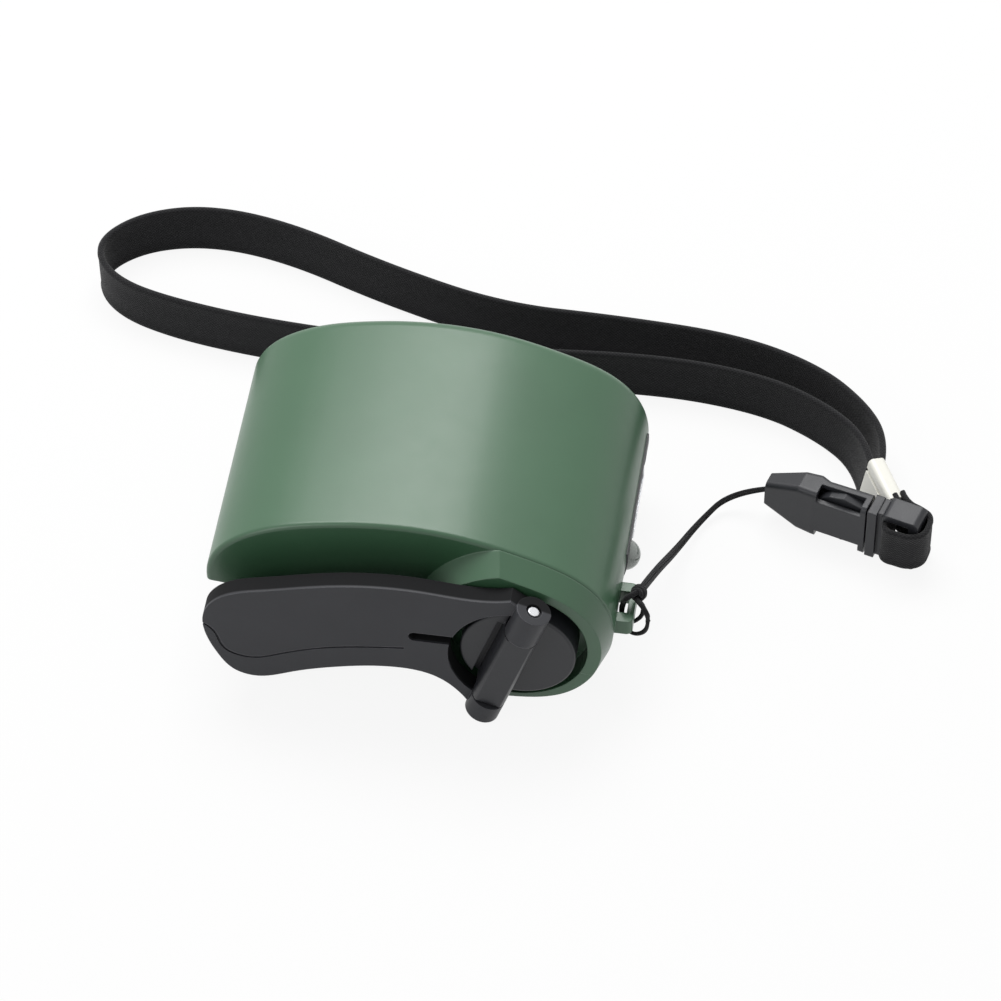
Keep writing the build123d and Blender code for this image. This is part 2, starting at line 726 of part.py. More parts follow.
# ---------------------------------------------------------------- crank
def hub_disc():
    disc = rod(0, 0, DISC_R, -DISC_FRONT, -DISC_BACK)
    rim = disc.faces().sort_by(Axis.Y)[0].edges()
    disc = fillet(rim, 0.4)
    deep = KNUCKLE_R - (-HINGE_Y - DISC_FRONT)
    high = KNUCKLE_HIGH - 1.2
    low = KNUCKLE_LOW
    half = KNUCKLE_R + KNUCKLE_GROOVE_W
    groove = Pos(-1.6, -(KNUCKLE_R + KNUCKLE_GROOVE_W / 2), -1.2)
    disc = disc - along_hinge(groove * Box(KNUCKLE_GROOVE_DEEP * 2, KNUCKLE_GROOVE_W, 14.5))
    saddle = Pos(-deep / 2 - 0.4, 0, (low + KNUCKLE_HIGH) / 2)
    seat = along_hinge(saddle * Box(deep + 0.8, 2 * KNUCKLE_R, KNUCKLE_HIGH - low))
    disc = disc + (seat & rod(0, 0, DISC_R, -HINGE_Y - 30, -DISC_BACK))
    knuckle = hinge_rod(KNUCKLE_R, low, KNUCKLE_HIGH)
    disc = disc + knuckle
    top = KNUCKLE_FLAT + 5
    disc = disc - along_hinge(Pos(top, 0, 0) * Box(10, 20, 40))
    relief = KNUCKLE_R + EAR_RELIEF
    disc = disc - hinge_rod(relief, KNUCKLE_HIGH, 20)
    disc = disc - hinge_rod(relief, -20, KNUCKLE_LOW)
    disc = disc - hinge_rod(PIN_R + SPIN_CLEAR, -20, 20)
    return disc - rod(0, 0, SHAFT_R, -4.0, 5)


def crank_shaft():
    big = rod(0, 0, SHAFT_R, -4.0, SHAFT_STEP_Y)
    return big + rod(0, 0, SHAFT_TAIL_R, SHAFT_STEP_Y, SHAFT_END_Y)


def shaft_clip():
    return rod(0, 0, CLIP_R, CLIP_Y[0], CLIP_Y[1]) - rod(0, 0, SHAFT_TAIL_R, 10, 15)


def arm_outline():
    """Flat banana shape of the folded arm, its right end squared off at the hinge."""
    edge = Spline(
        (-1.0, 13.5),
        (-7.0, 12.7),
        (-14.0, 13.2),
        (-22.5, 13.1),
        (-31.0, 11.6),
        (-39.0, 9.4),
        (-45.0, 7.2),
        (-48.0, 3.4),
        (-48.1, -1.2),
        (-46.2, -6.2),
        (-43.6, -9.6),
        (-40.4, -10.5),
        (-35.0, -8.7),
        (-27.5, -6.1),
        (-19.0, -4.6),
        (-12.5, -5.6),
        (-8.8, -8.6),
        (-7.0, -11.4),
    )
    end = Polyline((-7.0, -11.4), (-4.4, -11.6), (-2.6, -7.0), (2.2, 11.0), (-1.0, 13.5))
    return make_face([edge, end])


def style_groove():
    line = Spline(
        (-48.6, 0.6),
        (-46.3, -1.8),
        (-45.2, -4.6),
        (-41.0, -6.2),
        (-36.8, -4.8),
        (-30.5, -2.3),
        (-22.5, -0.6),
        (-17.2, 0.1),
    )
    return trace(line, line_width=STYLE_GROOVE_W)


def crank_arm():
    face = arm_outline() - Circle(BITE_R)
    face = face - Pos((SLOT_LEFT - 9) / 2, SLOT_Z) * Rectangle(-9 - SLOT_LEFT, SLOT_W)
    face = face - Pos(SLOT_LEFT, SLOT_Z) * Circle(SLOT_W / 2)
    arm = slab(face, -ARM_FRONT, -ARM_BACK)
    groove = slab(style_groove(), -ARM_FRONT - 1, -ARM_FRONT + STYLE_GROOVE_DEEP)
    arm = arm - groove
    arm = arm - hinge_rod(KNUCKLE_R + EAR_RELIEF, KNUCKLE_LOW - 0.3, EAR_HIGH_A)
    arm = arm + hinge_rod(KNUCKLE_R, EAR_HIGH_A, EAR_HIGH_B)
    arm = arm + hinge_rod(KNUCKLE_R, EAR_LOW_B, EAR_LOW_A)
    arm = arm - hinge_rod(PIN_R, -20, 20)
    arm = arm - hinge_rod(PIN_RECESS_R, EAR_HIGH_B - PIN_RECESS, 20)
    return arm - rod(KNOB_X, KNOB_Z, KNOB_AXLE_R, KNOB_SEAT_Y, 0)


def hinge_pin():
    return hinge_rod(PIN_R, EAR_LOW_B, EAR_HIGH_B - PIN_SINK)


def knob_axle():
    """Pin pressed into a blind hole in the arm, with a wide end that keeps the knob on."""
    stem = rod(KNOB_X, KNOB_Z, KNOB_AXLE_R, KNOB_SEAT_Y, -KNOB_TIP - 0.9)
    return stem + rod(KNOB_X, KNOB_Z, KNOB_HEAD_R, -KNOB_TIP - 0.9, -KNOB_TIP - 0.3)


def finger_knob():
    back = -ARM_BACK + KNOB_GAP
    knob = rod(KNOB_X, KNOB_Z, KNOB_R, back, -KNOB_TIP)
    knob = fillet(knob.edges().filter_by(GeomType.CIRCLE), 0.5)
    knob = knob - rod(KNOB_X, KNOB_Z, KNOB_AXLE_R + SPIN_CLEAR, -8, 2)
    return knob - rod(KNOB_X, KNOB_Z, KNOB_HEAD_R + SPIN_CLEAR, -KNOB_TIP - 1.0, 2)


# ---------------------------------------------------------------- strap, cord and buckle
GROUND = -AXIS_HEIGHT
STRAP_ROUTE = (
    (50.1, 47.1),
    (50.2, 52.0),
    (46.6, 58.6),
    (38.5, 65.6),
    (25.0, 70.4),
    (5.0, 71.6),
    (-14.0, 71.6),
    (-34.0, 77.6),
    (-51.0, 84.6),
    (-65.0, 86.6),
    (-76.0, 83.2),
    (-81.4, 76.4),
    (-77.0, 69.2),
    (-65.5, 64.2),
    (-46.0, 61.8),
    (-16.0, 60.6),
    (12.0, 63.0),
    (30.0, 62.4),
    (40.4, 57.6),
    (47.0, 51.8),
    (48.5, 46.4),
)
CORD_ROUTE = (
    (17.1, 7.9, 1.9),
    (18.4, 15.5, -2.2),
    (20.3, 27.0, -10.0),
    (23.0, 35.8, -12.6),
    (27.4, 41.9, -11.2),
    (33.6, 40.94, -8.3),
)


def fillet_radii(points):
    """The largest smooth bend at each corner that leaves some straight on both sides."""
    radii = []
    for before, here, after in zip(points, points[1:], points[2:]):
        a = [p - q for p, q in zip(here, before)]
        b = [p - q for p, q in zip(after, here)]
        la = math.hypot(*a)
        lb = math.hypot(*b)
        cosine = sum(p * q for p, q in zip(a, b)) / (la * lb)
        half = math.acos(max(-1.0, min(1.0, cosine))) / 2
        radii.append(0.45 * min(la, lb) / math.tan(half))
    return radii


def smooth_route(points):
    radii = fillet_radii(points)
    return FilletPolyline(*points, radius=radii)


def upright_band(route, thickness, foot, height):
    """A ribbon standing on its edge along a flat route."""
    return extrude(Pos(0, 0, foot) * trace(route, line_width=thickness), amount=height)


def wrist_strap():
    return upright_band(smooth_route(STRAP_ROUTE), STRAP_T, GROUND, STRAP_W)


def phone_cord():
    route = smooth_route(CORD_ROUTE)
    return sweep(Plane(origin=route @ 0, z_dir=route % 0) * Circle(CORD_R), path=route)


def knot_frame():
    a = CORD_ROUTE[0]
    b = CORD_ROUTE[1]
    direction = tuple(q - p for p, q in zip(a, b))
    return Plane(origin=a, z_dir=direction)


def lanyard_knot():
    knot = knot_frame().location * Pos(0, 0, -KNOT_LEN / 2) * Cylinder(KNOT_R, KNOT_LEN)
    return fillet(knot.edges().filter_by(GeomType.CIRCLE), 0.3)


def lanyard_loop():
    back = knot_frame().location * Pos(0, 0, -KNOT_LEN)
    above = (back * Pos(0, 0.65, 0)).position
    below = (back * Pos(0, -0.65, 0)).position
    route = Spline(
        above,
        (15.4, 5.5, 2.7),
        (14.66, 6.5, 0.5),
        (14.66, 6.0, -2.6),
        (15.9, 4.6, -3.9),
        (17.9, 4.0, -3.3),
        (18.8, 4.2, -0.8),
        (18.2, 4.3, 1.8),
        below,
    )
    return sweep(Plane(origin=route @ 0, z_dir=route % 0) * Circle(LOOP_R), path=route)


def buckle_place():
    """The buckle stands on its narrow edge: x along it, y through it, z across it."""
    return Pos(BUCKLE_AT[0], BUCKLE_AT[1], GROUND) * Rot(0, 0, BUCKLE_TURN)


def across(length_at, thickness, width, shift=0.0):
    """A rounded section across the buckle, centred on its long axis or shifted through it."""
    origin = (length_at, shift, BUCKLE_W / 2)
    plane = Plane(origin=origin, x_dir=(0, 1, 0), z_dir=(1, 0, 0))
    return plane * RectangleRounded(thickness, width, 0.9)


def standing(x0, x1, half_thickness, half_width):
    """A block centred on the buckle's long axis."""
    middle = BUCKLE_W / 2
    return block(x0, x1, -half_thickness, half_thickness, middle - half_width, middle + half_width)


def buckle_socket():
    nose = across(0, *BUCKLE_NOSE)
    shoulder = across(BUCKLE_SHOULDER_AT, *BUCKLE_SHOULDER)
    middle = across(NOTCH[0] - 0.6, BUCKLE_T, BUCKLE_W - 0.6)
    step = across(NOTCH[0] + 1.0, BUCKLE_MOUTH_T, BUCKLE_W - 0.5, MOUTH_MIDDLE)
    mouth = across(BUCKLE_BODY_L, BUCKLE_MOUTH_T, BUCKLE_W, MOUTH_MIDDLE)
    body = loft([nose, shoulder, middle, step, mouth], ruled=True)
    half_t = BUCKLE_MOUTH_T / 2 - BUCKLE_WALL + 0.2
    half_w = BUCKLE_W / 2 - BUCKLE_WALL
    room = standing(BUCKLE_SHOULDER_AT + 2.4, BUCKLE_BODY_L + 1, half_t, half_w)
    body = body - Pos(0, MOUTH_MIDDLE, 0) * room
    for z in (0, BUCKLE_W):
        cut = block(NOTCH[0], NOTCH[1], -9, NOTCH_BACK, z - NOTCH_DEEP, z + NOTCH_DEEP)
        body = body - cut
    return buckle_place() * body


def prong(side):
    """One springy arm of the plug, a long wedge whose crown fills a notch of the socket."""
    x0 = BUCKLE_BODY_L
    middle = BUCKLE_W / 2
    plan = (
        (x0 + 1, 2.2),
        (x0 + 1, 3.3),
        (x0 - 1.2, 4.0),
        (x0 - 4.2, 4.75),
        (x0 - 6.6, 4.2),
        (x0 - 8.2, 3.2),
        (x0 - 8.2, 2.6),
        (x0 - 5.0, 2.2),
    )
    face = make_face(Polyline(*[(x, middle + side * z) for x, z in plan], close=True))
    return slab(face, NOTCH_BACK - 1.4, NOTCH_BACK - 0.05)


def buckle_plug():
    x0 = BUCKLE_BODY_L
    plug = Pos(0, MOUTH_MIDDLE, 0) * standing(x0 - 8.2, x0 + 1, 0.85, 1.2)
    plug = plug + prong(1) + prong(-1)
    flange_x = x0 + FLANGE_GAP
    ring_x = flange_x + FLANGE_T
    flange = standing(flange_x, ring_x, BUCKLE_MOUTH_T / 2, BUCKLE_W / 2 - 0.2)
    plug = plug + Pos(0, MOUTH_MIDDLE, 0) * flange
    neck = standing(ring_x - 0.1, ring_x + NECK_T + 0.1, RING_T / 2 - 0.4, BUCKLE_W / 2 - 0.4)
    ring = standing(ring_x + NECK_T, ring_x + RING_LEN, RING_T / 2, BUCKLE_W / 2)
    ring = fillet(ring.edges().filter_by(Axis.Y), 1.0)
    gap_x = ring_x + RING_LEN - RING_END_BAR
    gap = standing(ring_x + 1.2, gap_x, 9, BUCKLE_W / 2 - RING_BAR)
    return buckle_place() * (plug + neck + ring - gap)


def crimp_place():
    lean = math.radians(-CRIMP_LEAN)
    rise = CRIMP_H / 2 * math.cos(lean) + CRIMP_W / 2 * math.sin(lean)
    place = Pos(CRIMP_AT[0], CRIMP_AT[1], GROUND + rise)
    return place * Rot(0, 0, CRIMP_TURN) * Rot(CRIMP_LEAN, 0, 0)


def strap_crimp():
    """Folded clip on the strap's two ends: a body with a lip along its top."""
    body = Box(CRIMP_LEN, CRIMP_W, CRIMP_H)
    body = fillet(body.edges().filter_by(Axis.X), 0.8)
    groove = Pos(0, -CRIMP_W / 2, CRIMP_H / 2 - 2.2) * Box(CRIMP_LEN + 1, 0.8, 0.7)
    return crimp_place() * (body - groove)


def ring_end():
    """Start and end of the ring's end bar along the buckle."""
    x1 = BUCKLE_BODY_L + FLANGE_GAP + FLANGE_T + RING_LEN
    return x1 - RING_END_BAR, x1


def strap_tab():
    """Folded end of the strap, wrapped round the end bar of the buckle's ring."""
    bar_a, bar_b = ring_end()
    half_w = BUCKLE_W / 2 - RING_BAR - TAB_CLEAR
    half_t = RING_T / 2 + TAB_CLEAR
    left = bar_a - TAB_REACH
    fold = standing(left, bar_b + TAB_CLEAR + TAB_T, half_t + TAB_T, half_w)
    fold = fillet(fold.edges().filter_by(Axis.Z), 0.6)
    fold = fold - standing(left + TAB_T, bar_b + TAB_CLEAR, half_t, half_w + 1)
    y0 = half_t + TAB_T - 0.2
    low = BUCKLE_W / 2 - half_w + 0.4
    plan = Polyline((left, y0), (left + 3.2, y0), (left + 0.4, 5.2), (left - 1.6, 3.7), close=True)
    leg = extrude(Pos(0, 0, low) * make_face(plan), amount=2 * half_w - 0.8)
    return buckle_place() * (fold + leg) - strap_crimp()


# ---------------------------------------------------------------- colours and saving
GREEN = (0.30, 0.42, 0.34)
BLACK = (0.06, 0.065, 0.07)
STEEL = (0.62, 0.63, 0.65)
BRASS = (0.72, 0.56, 0.27)
WHITE = (0.88, 0.87, 0.82)
NATURAL = (0.82, 0.82, 0.78)
COPPER = (0.70, 0.38, 0.20)

whole = housing_full()
room = cavity()
save(upper_housing(whole, room), "upper_housing", GREEN)
save(lower_housing(whole, room), "lower_housing", GREEN)
save(housing_screws(), "housing_screws", STEEL)
save(side_panel(), "side_panel", BLACK)
save(usb_socket(), "usb_socket", STEEL)
save(usb_tongue(), "usb_tongue", BLACK)
save(led_lamp(), "led_lamp", (0.85, 0.88, 0.9))
save(led_leads(), "led_leads", STEEL)
save(circuit_board(), "circuit_board", (0.08, 0.32, 0.16))
save(board_screws(), "board_screws", STEEL)
save(rectifier_chip(), "rectifier_chip", BLACK)
save(storage_coil(), "storage_coil", (0.2, 0.2, 0.22))
save(storage_cell(), "storage_cell", (0.16, 0.24, 0.4))
save(lead_wire(LEAD_RUNS[0], -6.2, 1), "generator_lead_red", (0.6, 0.08, 0.06))
save(lead_wire(LEAD_RUNS[1], -7.8, -1), "generator_lead_black", BLACK)
save(gear_plate(), "gear_plate", STEEL)
save(plate_screws(), "plate_screws", STEEL)
save(crank_bush(), "crank_bush", BRASS)
save(idler_pin(IDLER_1), "idler_pin_1", STEEL)
save(idler_pin(IDLER_2), "idler_pin_2", STEEL)
save(generator_can(), "generator_can", STEEL)
save(generator_magnets(), "generator_magnets", (0.2, 0.2, 0.21))
save(generator_end_cap(), "generator_end_cap", WHITE)
save(generator_brushes(), "generator_brushes", (0.12, 0.12, 0.12))
save(armature_core(), "armature_core", STEEL)
save(armature_winding(), "armature_winding", COPPER)
save(commutator(), "commutator", COPPER)
save(rotor_shaft(), "rotor_shaft", STEEL)
save(rotor_pinion(), "rotor_pinion", BRASS)
save(hub_disc(), "hub_disc", BLACK)
save(crank_shaft(), "crank_shaft", STEEL)
save(shaft_clip(), "shaft_clip", STEEL)
save(drive_gear(), "drive_gear", NATURAL)
idler_1 = idler_gear(IDLER_1, STAGE_1_ANGLE, STAGE_2_ANGLE, LAYER_A, LAYER_B)
save(idler_1, "idler_gear_1", NATURAL)
idler_2 = idler_gear(IDLER_2, STAGE_2_ANGLE, STAGE_3_ANGLE, LAYER_B, LAYER_C)
save(idler_2, "idler_gear_2", NATURAL)
save(crank_arm(), "crank_arm", BLACK)
save(hinge_pin(), "hinge_pin", STEEL)
save(knob_axle(), "knob_axle", STEEL)
save(finger_knob(), "finger_knob", BLACK)
save(wrist_strap(), "wrist_strap", BLACK)
save(phone_cord(), "phone_cord", BLACK)
save(lanyard_knot(), "lanyard_knot", BLACK)
save(lanyard_loop(), "lanyard_loop", BLACK)
save(buckle_socket(), "buckle_socket", BLACK)
save(buckle_plug(), "buckle_plug", BLACK)
save(strap_crimp(), "strap_crimp", WHITE)
save(strap_tab(), "strap_tab", BLACK)
print("wrist strap: flat, width", STRAP_W, "thickness", STRAP_T)
print("phone cord radius", CORD_R, "lanyard loop radius", LOOP_R)
print("axes: crank", HOME.position, "idler 1", IDLER_1, "idler 2", IDLER_2, "rotor", ROTOR)
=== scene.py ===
# %% [markdown]
# # A pocket generator with a folding crank
# The object is a bean-shaped moulded case with a crank arm folded along its front face, a small
# lamp and a power socket in its right side, and a wrist strap on a buckle and a thin cord. The
# rigid parts come from the CAD frame and keep their shapes. This lesson adds the camera, the soft
# parts, the finishes, the floor and the light.

# %% Load the frame
import json
import math

import bpy
from mathutils import Matrix, Vector


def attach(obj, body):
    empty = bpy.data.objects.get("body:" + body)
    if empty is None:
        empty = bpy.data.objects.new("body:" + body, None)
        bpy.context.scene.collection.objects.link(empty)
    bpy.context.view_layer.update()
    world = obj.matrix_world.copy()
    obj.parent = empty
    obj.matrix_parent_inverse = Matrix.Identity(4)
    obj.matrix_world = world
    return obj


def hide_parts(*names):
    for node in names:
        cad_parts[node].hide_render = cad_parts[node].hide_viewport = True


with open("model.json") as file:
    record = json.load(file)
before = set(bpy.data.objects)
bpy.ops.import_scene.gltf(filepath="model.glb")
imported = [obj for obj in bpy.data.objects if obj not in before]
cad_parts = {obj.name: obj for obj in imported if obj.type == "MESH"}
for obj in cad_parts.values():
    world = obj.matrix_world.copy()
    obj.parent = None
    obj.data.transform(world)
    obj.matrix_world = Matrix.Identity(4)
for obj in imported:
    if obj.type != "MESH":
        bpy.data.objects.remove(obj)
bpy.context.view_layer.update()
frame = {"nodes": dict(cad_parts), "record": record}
nodes = frame["nodes"]
print("parts in the frame:", len(nodes))

# %% [markdown]
# The soft parts are written from the crank's axis, in metres: x along the body, y backwards from
# the crank face, z up. One vector moves such a point to its place in the frame.

# %% A point near the crank, put in the frame
CRANK_AXIS = Vector((0.0163, -0.01705, 0.0135))


def at(x, y, z):
    """A point measured from the crank's axis, in the frame."""
    return CRANK_AXIS + Vector((x, y, z))


def deselect():
    """Operators act on all that is selected, so nothing is left selected."""
    bpy.ops.object.select_all(action="DESELECT")


# %% [markdown]
# ## The camera
# The photograph was taken from high up and a little to the right, with a long lens that keeps the
# sides of the case almost parallel. The camera stands 0.8 m away and is turned by its three angles,
# because they also hold the slight roll that a camera in the hand has.

# %% Camera
camera_data = bpy.data.cameras.new("photo_camera")
camera_data.sensor_width = 36
camera_data.lens = 193.06
camera = bpy.data.objects.new("photo_camera", camera_data)
bpy.context.scene.collection.objects.link(camera)
camera.location = (0.087145, -0.547145, 0.635613)
camera.rotation_euler = (0.733018, -0.00603, 0.146323)
bpy.context.scene.camera = camera
bpy.context.scene.view_settings.view_transform = "Standard"
print("camera lens:", camera_data.lens, "mm")

# %% [markdown]
# ## Lines for the cords
# A strap or cord has a fixed length and lies in smooth curves, so each gets a line first. The
# route's points are the control points of a NURBS spline, which rounds the corners by itself. The
# line is then read back as Blender draws it, and a flat section is carried along it.

# %% A smooth line through a route
def new_curve(name, resolution):
    curve = bpy.data.curves.new(name, "CURVE")
    curve.dimensions = "3D"
    curve.resolution_u = resolution
    return curve


def drawn_line(curve):
    """The points of a curve as Blender draws it. The curve itself isn't kept."""
    holder = bpy.data.objects.new(curve.name, curve)
    drawn = bpy.data.meshes.new_from_object(holder)
    line = [vertex.co.copy() for vertex in drawn.vertices]
    bpy.data.objects.remove(holder)
    bpy.data.curves.remove(curve)
    bpy.data.meshes.remove(drawn)
    return line


def route_line(name, points):
    """The points of the smooth line that a route's control points give."""
    curve = new_curve(name, 20)
    spline = curve.splines.new("NURBS")
    spline.points.add(len(points) - 1)
    for control, place in zip(spline.points, points):
        control.co = (*place, 1)
    spline.order_u = 3
    spline.use_endpoint_u = True
    return drawn_line(curve)


def line_length(line):
    return sum((b - a).length for a, b in zip(line, line[1:]))


# %% [markdown]
# ## A woven band along a line
# A strap is a flat band: wide, thin, with two thicker woven edges. Its section is drawn once and
# carried along the line. A curve with a bevel object could do it too, but here every point also
# gets a place on the band in metres, along and across, so that the weave has one size everywhere.
# The section is a list of steps from an edge to the middle. An edge's steps are measured in half
# thicknesses, so a thick band gets a broad edge, and the other half is the same mirrored.

# %% The section of a band
WOVEN_EDGE = ((0.0, 0.35), (0.4, 0.9), (1.2, 1.0), (2.0, 0.78))
MIDDLE_PLACE = 0.35
MIDDLE_HEIGHT = 0.82


def band_section(width, thick):
    """Points round a flat band: (across, out). The edges are rounded and a little thicker."""
    half_w = width / 2
    half_t = thick / 2
    left = [(-half_w + half_t * inward, half_t * out) for inward, out in WOVEN_EDGE]
    left.append((-half_w * MIDDLE_PLACE, half_t * MIDDLE_HEIGHT))
    upper = left + [(-across, out) for across, out in reversed(left)]
    lower = [(across, -out) for across, out in reversed(upper)]
    return upper + lower


# %% How a section is carried along a line
def turn_faces_out(piece):
    deselect()
    piece.select_set(True)
    bpy.context.view_layer.objects.active = piece
    bpy.ops.object.mode_set(mode="EDIT")
    bpy.ops.mesh.select_all(action="SELECT")
    bpy.ops.mesh.normals_make_consistent(inside=False)
    bpy.ops.object.mode_set(mode="OBJECT")


def carry_section(name, line, section, lean):
    """A mesh band: the section stands upright on the line, turned by lean(share of the way)."""
    count = len(section)
    total = line_length(line)
    vertices = []
    lengths = []
    gone = 0.0
    for i, here in enumerate(line):
        before = line[max(i - 1, 0)]
        after = line[min(i + 1, len(line) - 1)]
        gone += (here - before).length
        lengths.append(gone)
        ahead = (after - before).normalized()
        side = ahead.cross(Vector((0, 0, 1))).normalized()
        up = side.cross(ahead)
        turn = Matrix.Rotation(lean(gone / total), 3, ahead)
        for across, out in section:
            vertices.append(here + turn @ (up * across + side * out))
    faces = []
    for i in range(len(line) - 1):
        for k in range(count):
            a = i * count + k
            b = i * count + (k + 1) % count
            faces.append((a, b, b + count, a + count))
    faces.append(tuple(reversed(range(count))))
    faces.append(tuple(range(len(vertices) - count, len(vertices))))
    mesh = bpy.data.meshes.new(name)
    mesh.from_pydata(vertices, [], faces)
    around = [0.0]
    for k in range(count):
        a = Vector(section[k])
        b = Vector(section[(k + 1) % count])
        around.append(around[-1] + (b - a).length)
    uv = mesh.uv_layers.new(name="UVMap").data
    for face in mesh.polygons:
        for loop in face.loop_indices:
            vertex = mesh.loops[loop].vertex_index
            ring, place = divmod(vertex, count)
            last_strip = place == 0 and face.index % count == count - 1
            uv[loop].uv = (lengths[ring], around[count if last_strip else place])
    piece = bpy.data.objects.new(name, mesh)
    bpy.context.scene.collection.objects.link(piece)
    turn_faces_out(piece)
    for face in mesh.polygons:
        face.use_smooth = True
    print(name, "length", round(total, 4), "faces", len(mesh.polygons))
    return piece


# %% [markdown]
# ## The wrist strap
# The strap is 8 mm webbing that stands on its edge behind the case in one big loop, and both its
# ends go into the white clip. Both runs lean back from the camera, so the band has to twist from
# one lean to the other in the bend at the left, as a stiff band does.

# %% Wrist strap
STRAP_WIDTH = 0.008
STRAP_THICK = 0.0011
STRAP_MIDDLE = -0.0095
STRAP_ROUTE = (
    (0.0501, 0.0471),
    (0.0502, 0.0520),
    (0.0466, 0.0586),
    (0.0385, 0.0656),
    (0.0250, 0.0704),
    (0.0050, 0.0716),
    (-0.0140, 0.0716),
    (-0.0340, 0.0776),
    (-0.0510, 0.0846),
    (-0.0650, 0.0866),
    (-0.0760, 0.0832),
    (-0.0820, 0.0758),
    (-0.0775, 0.0682),
    (-0.0655, 0.0642),
    (-0.0460, 0.0618),
    (-0.0160, 0.0614),
    (0.0120, 0.0642),
    (0.0300, 0.0624),
    (0.0404, 0.0576),
    (0.0470, 0.0518),
    (0.0485, 0.0464),
)
CLIP_LEAN = math.radians(10)
FAR_LEAN = math.radians(12)
NEAR_LEAN = math.radians(-9)
TWIST_START = 0.44
TWIST_SHARE = 0.16
CLIP_SHARE = 0.1


def ease(value):
    """0 to 1 with a soft start and end."""
    value = min(max(value, 0.0), 1.0)
    return value * value * (3 - 2 * value)


def strap_lean(share):
    """The lean of the far run, then that of the near run, and the clip's at both ends."""
    lean = FAR_LEAN + (NEAR_LEAN - FAR_LEAN) * ease((share - TWIST_START) / TWIST_SHARE)
    if share < CLIP_SHARE:
        return CLIP_LEAN + (lean - CLIP_LEAN) * ease(share / CLIP_SHARE)
    return lean + (-CLIP_LEAN - lean) * ease((share - 1 + CLIP_SHARE) / CLIP_SHARE)


strap_line = route_line("wrist_strap_line", [at(x, y, STRAP_MIDDLE) for x, y in STRAP_ROUTE])
strap_section = band_section(STRAP_WIDTH, STRAP_THICK)
strap = carry_section("wrist_strap_webbing", strap_line, strap_section, strap_lean)

# %% [markdown]
# ## The thin cord and its hitch
# A thin flat cord runs from the buckle to the lug on the case. It is twisted, so it shows its flat
# side near the lug and its edge near the buckle. Round the lug it is a double loop with a knot.

# %% Thin cord
CORD_WIDTH = 0.0013
CORD_THICK = 0.0005
CORD_ROUTE = (
    (0.0171, 0.0079, 0.0019),
    (0.0184, 0.0155, -0.0022),
    (0.0203, 0.0270, -0.0100),
    (0.0230, 0.0358, -0.0126),
    (0.0274, 0.0419, -0.0112),
    (0.0336, 0.04094, -0.0083),
)


TURN_AT_LUG = math.radians(95)
TURN_ON_THE_WAY = math.radians(110)


def cord_twist(share):
    return TURN_AT_LUG + TURN_ON_THE_WAY * share


cord_line = route_line("phone_cord_line", [at(*point) for point in CORD_ROUTE])
cord_section = band_section(CORD_WIDTH, CORD_THICK)
thin_cord = carry_section("thin_cord", cord_line, cord_section, cord_twist)

# %% [markdown]
# The loop passes through the hole of the lug and back to the knot. It isn't a long cord of its own,
# so its line goes exactly through its points: a Bezier spline with automatic handles does that.

# %% Loop round the lug
def loop_line(name, points):
    """The points of a line that goes through every point given."""
    curve = new_curve(name, 14)
    spline = curve.splines.new("BEZIER")
    spline.bezier_points.add(len(points) - 1)
    for control, place in zip(spline.bezier_points, points):
        control.co = place
        control.handle_left_type = "AUTO"
        control.handle_right_type = "AUTO"
    return drawn_line(curve)


KNOT_FRONT = at(*CORD_ROUTE[0])
KNOT_RUN = (at(*CORD_ROUTE[1]) - KNOT_FRONT).normalized()
KNOT_LENGTH = 0.0026
KNOT_BACK = KNOT_FRONT - KNOT_RUN * KNOT_LENGTH
KNOT_SIDE = KNOT_RUN.cross(Vector((0, 0, 1))).normalized()
KNOT_UP = KNOT_SIDE.cross(KNOT_RUN)
LOOP_HOLE = (
    (0.0154, 0.0055, 0.0027),
    (0.01466, 0.0065, 0.0005),
    (0.01466, 0.0060, -0.0026),
)
LOOP_WIDE = (
    (0.0159, 0.0046, -0.0039),
    (0.0179, 0.0040, -0.0033),
    (0.0188, 0.0042, -0.0008),
    (0.0182, 0.0043, 0.0018),
)
LOOP_TIGHT = (
    (0.0157, 0.0056, -0.0033),
    (0.0170, 0.0058, -0.0026),
    (0.0177, 0.0060, -0.0006),
    (0.0175, 0.0052, 0.0014),
)
STRAND_SECTION = band_section(0.0008, 0.0006)
STRAND_SHIFT = 0.00042
STRAND_LEAN = 0.6
STRAND_ABOVE = 0.0006
loop_strands = []
for turn, side in ((LOOP_WIDE, -1), (LOOP_TIGHT, 1)):
    shift = KNOT_RUN * STRAND_SHIFT * side
    points = [KNOT_BACK + KNOT_UP * STRAND_ABOVE]
    points += [at(*point) + shift for point in LOOP_HOLE + turn]
    points += [KNOT_BACK - KNOT_UP * STRAND_ABOVE]
    line = loop_line("loop_line", points)
    strand = carry_section("loop_strand", line, STRAND_SECTION, lambda share: STRAND_LEAN)
    loop_strands.append(strand)
deselect()
for strand in loop_strands:
    strand.select_set(True)
bpy.context.view_layer.objects.active = loop_strands[0]
bpy.ops.object.join()
loop = bpy.context.view_layer.objects.active
loop.name = "cord_loop"
print("cord loop faces", len(loop.data.polygons))

# %% [markdown]
# The knot is the cord wound round itself. Its line is a short coil of about three turns that gets
# narrower at both ends, and a section that fills the space between the turns is carried along it.

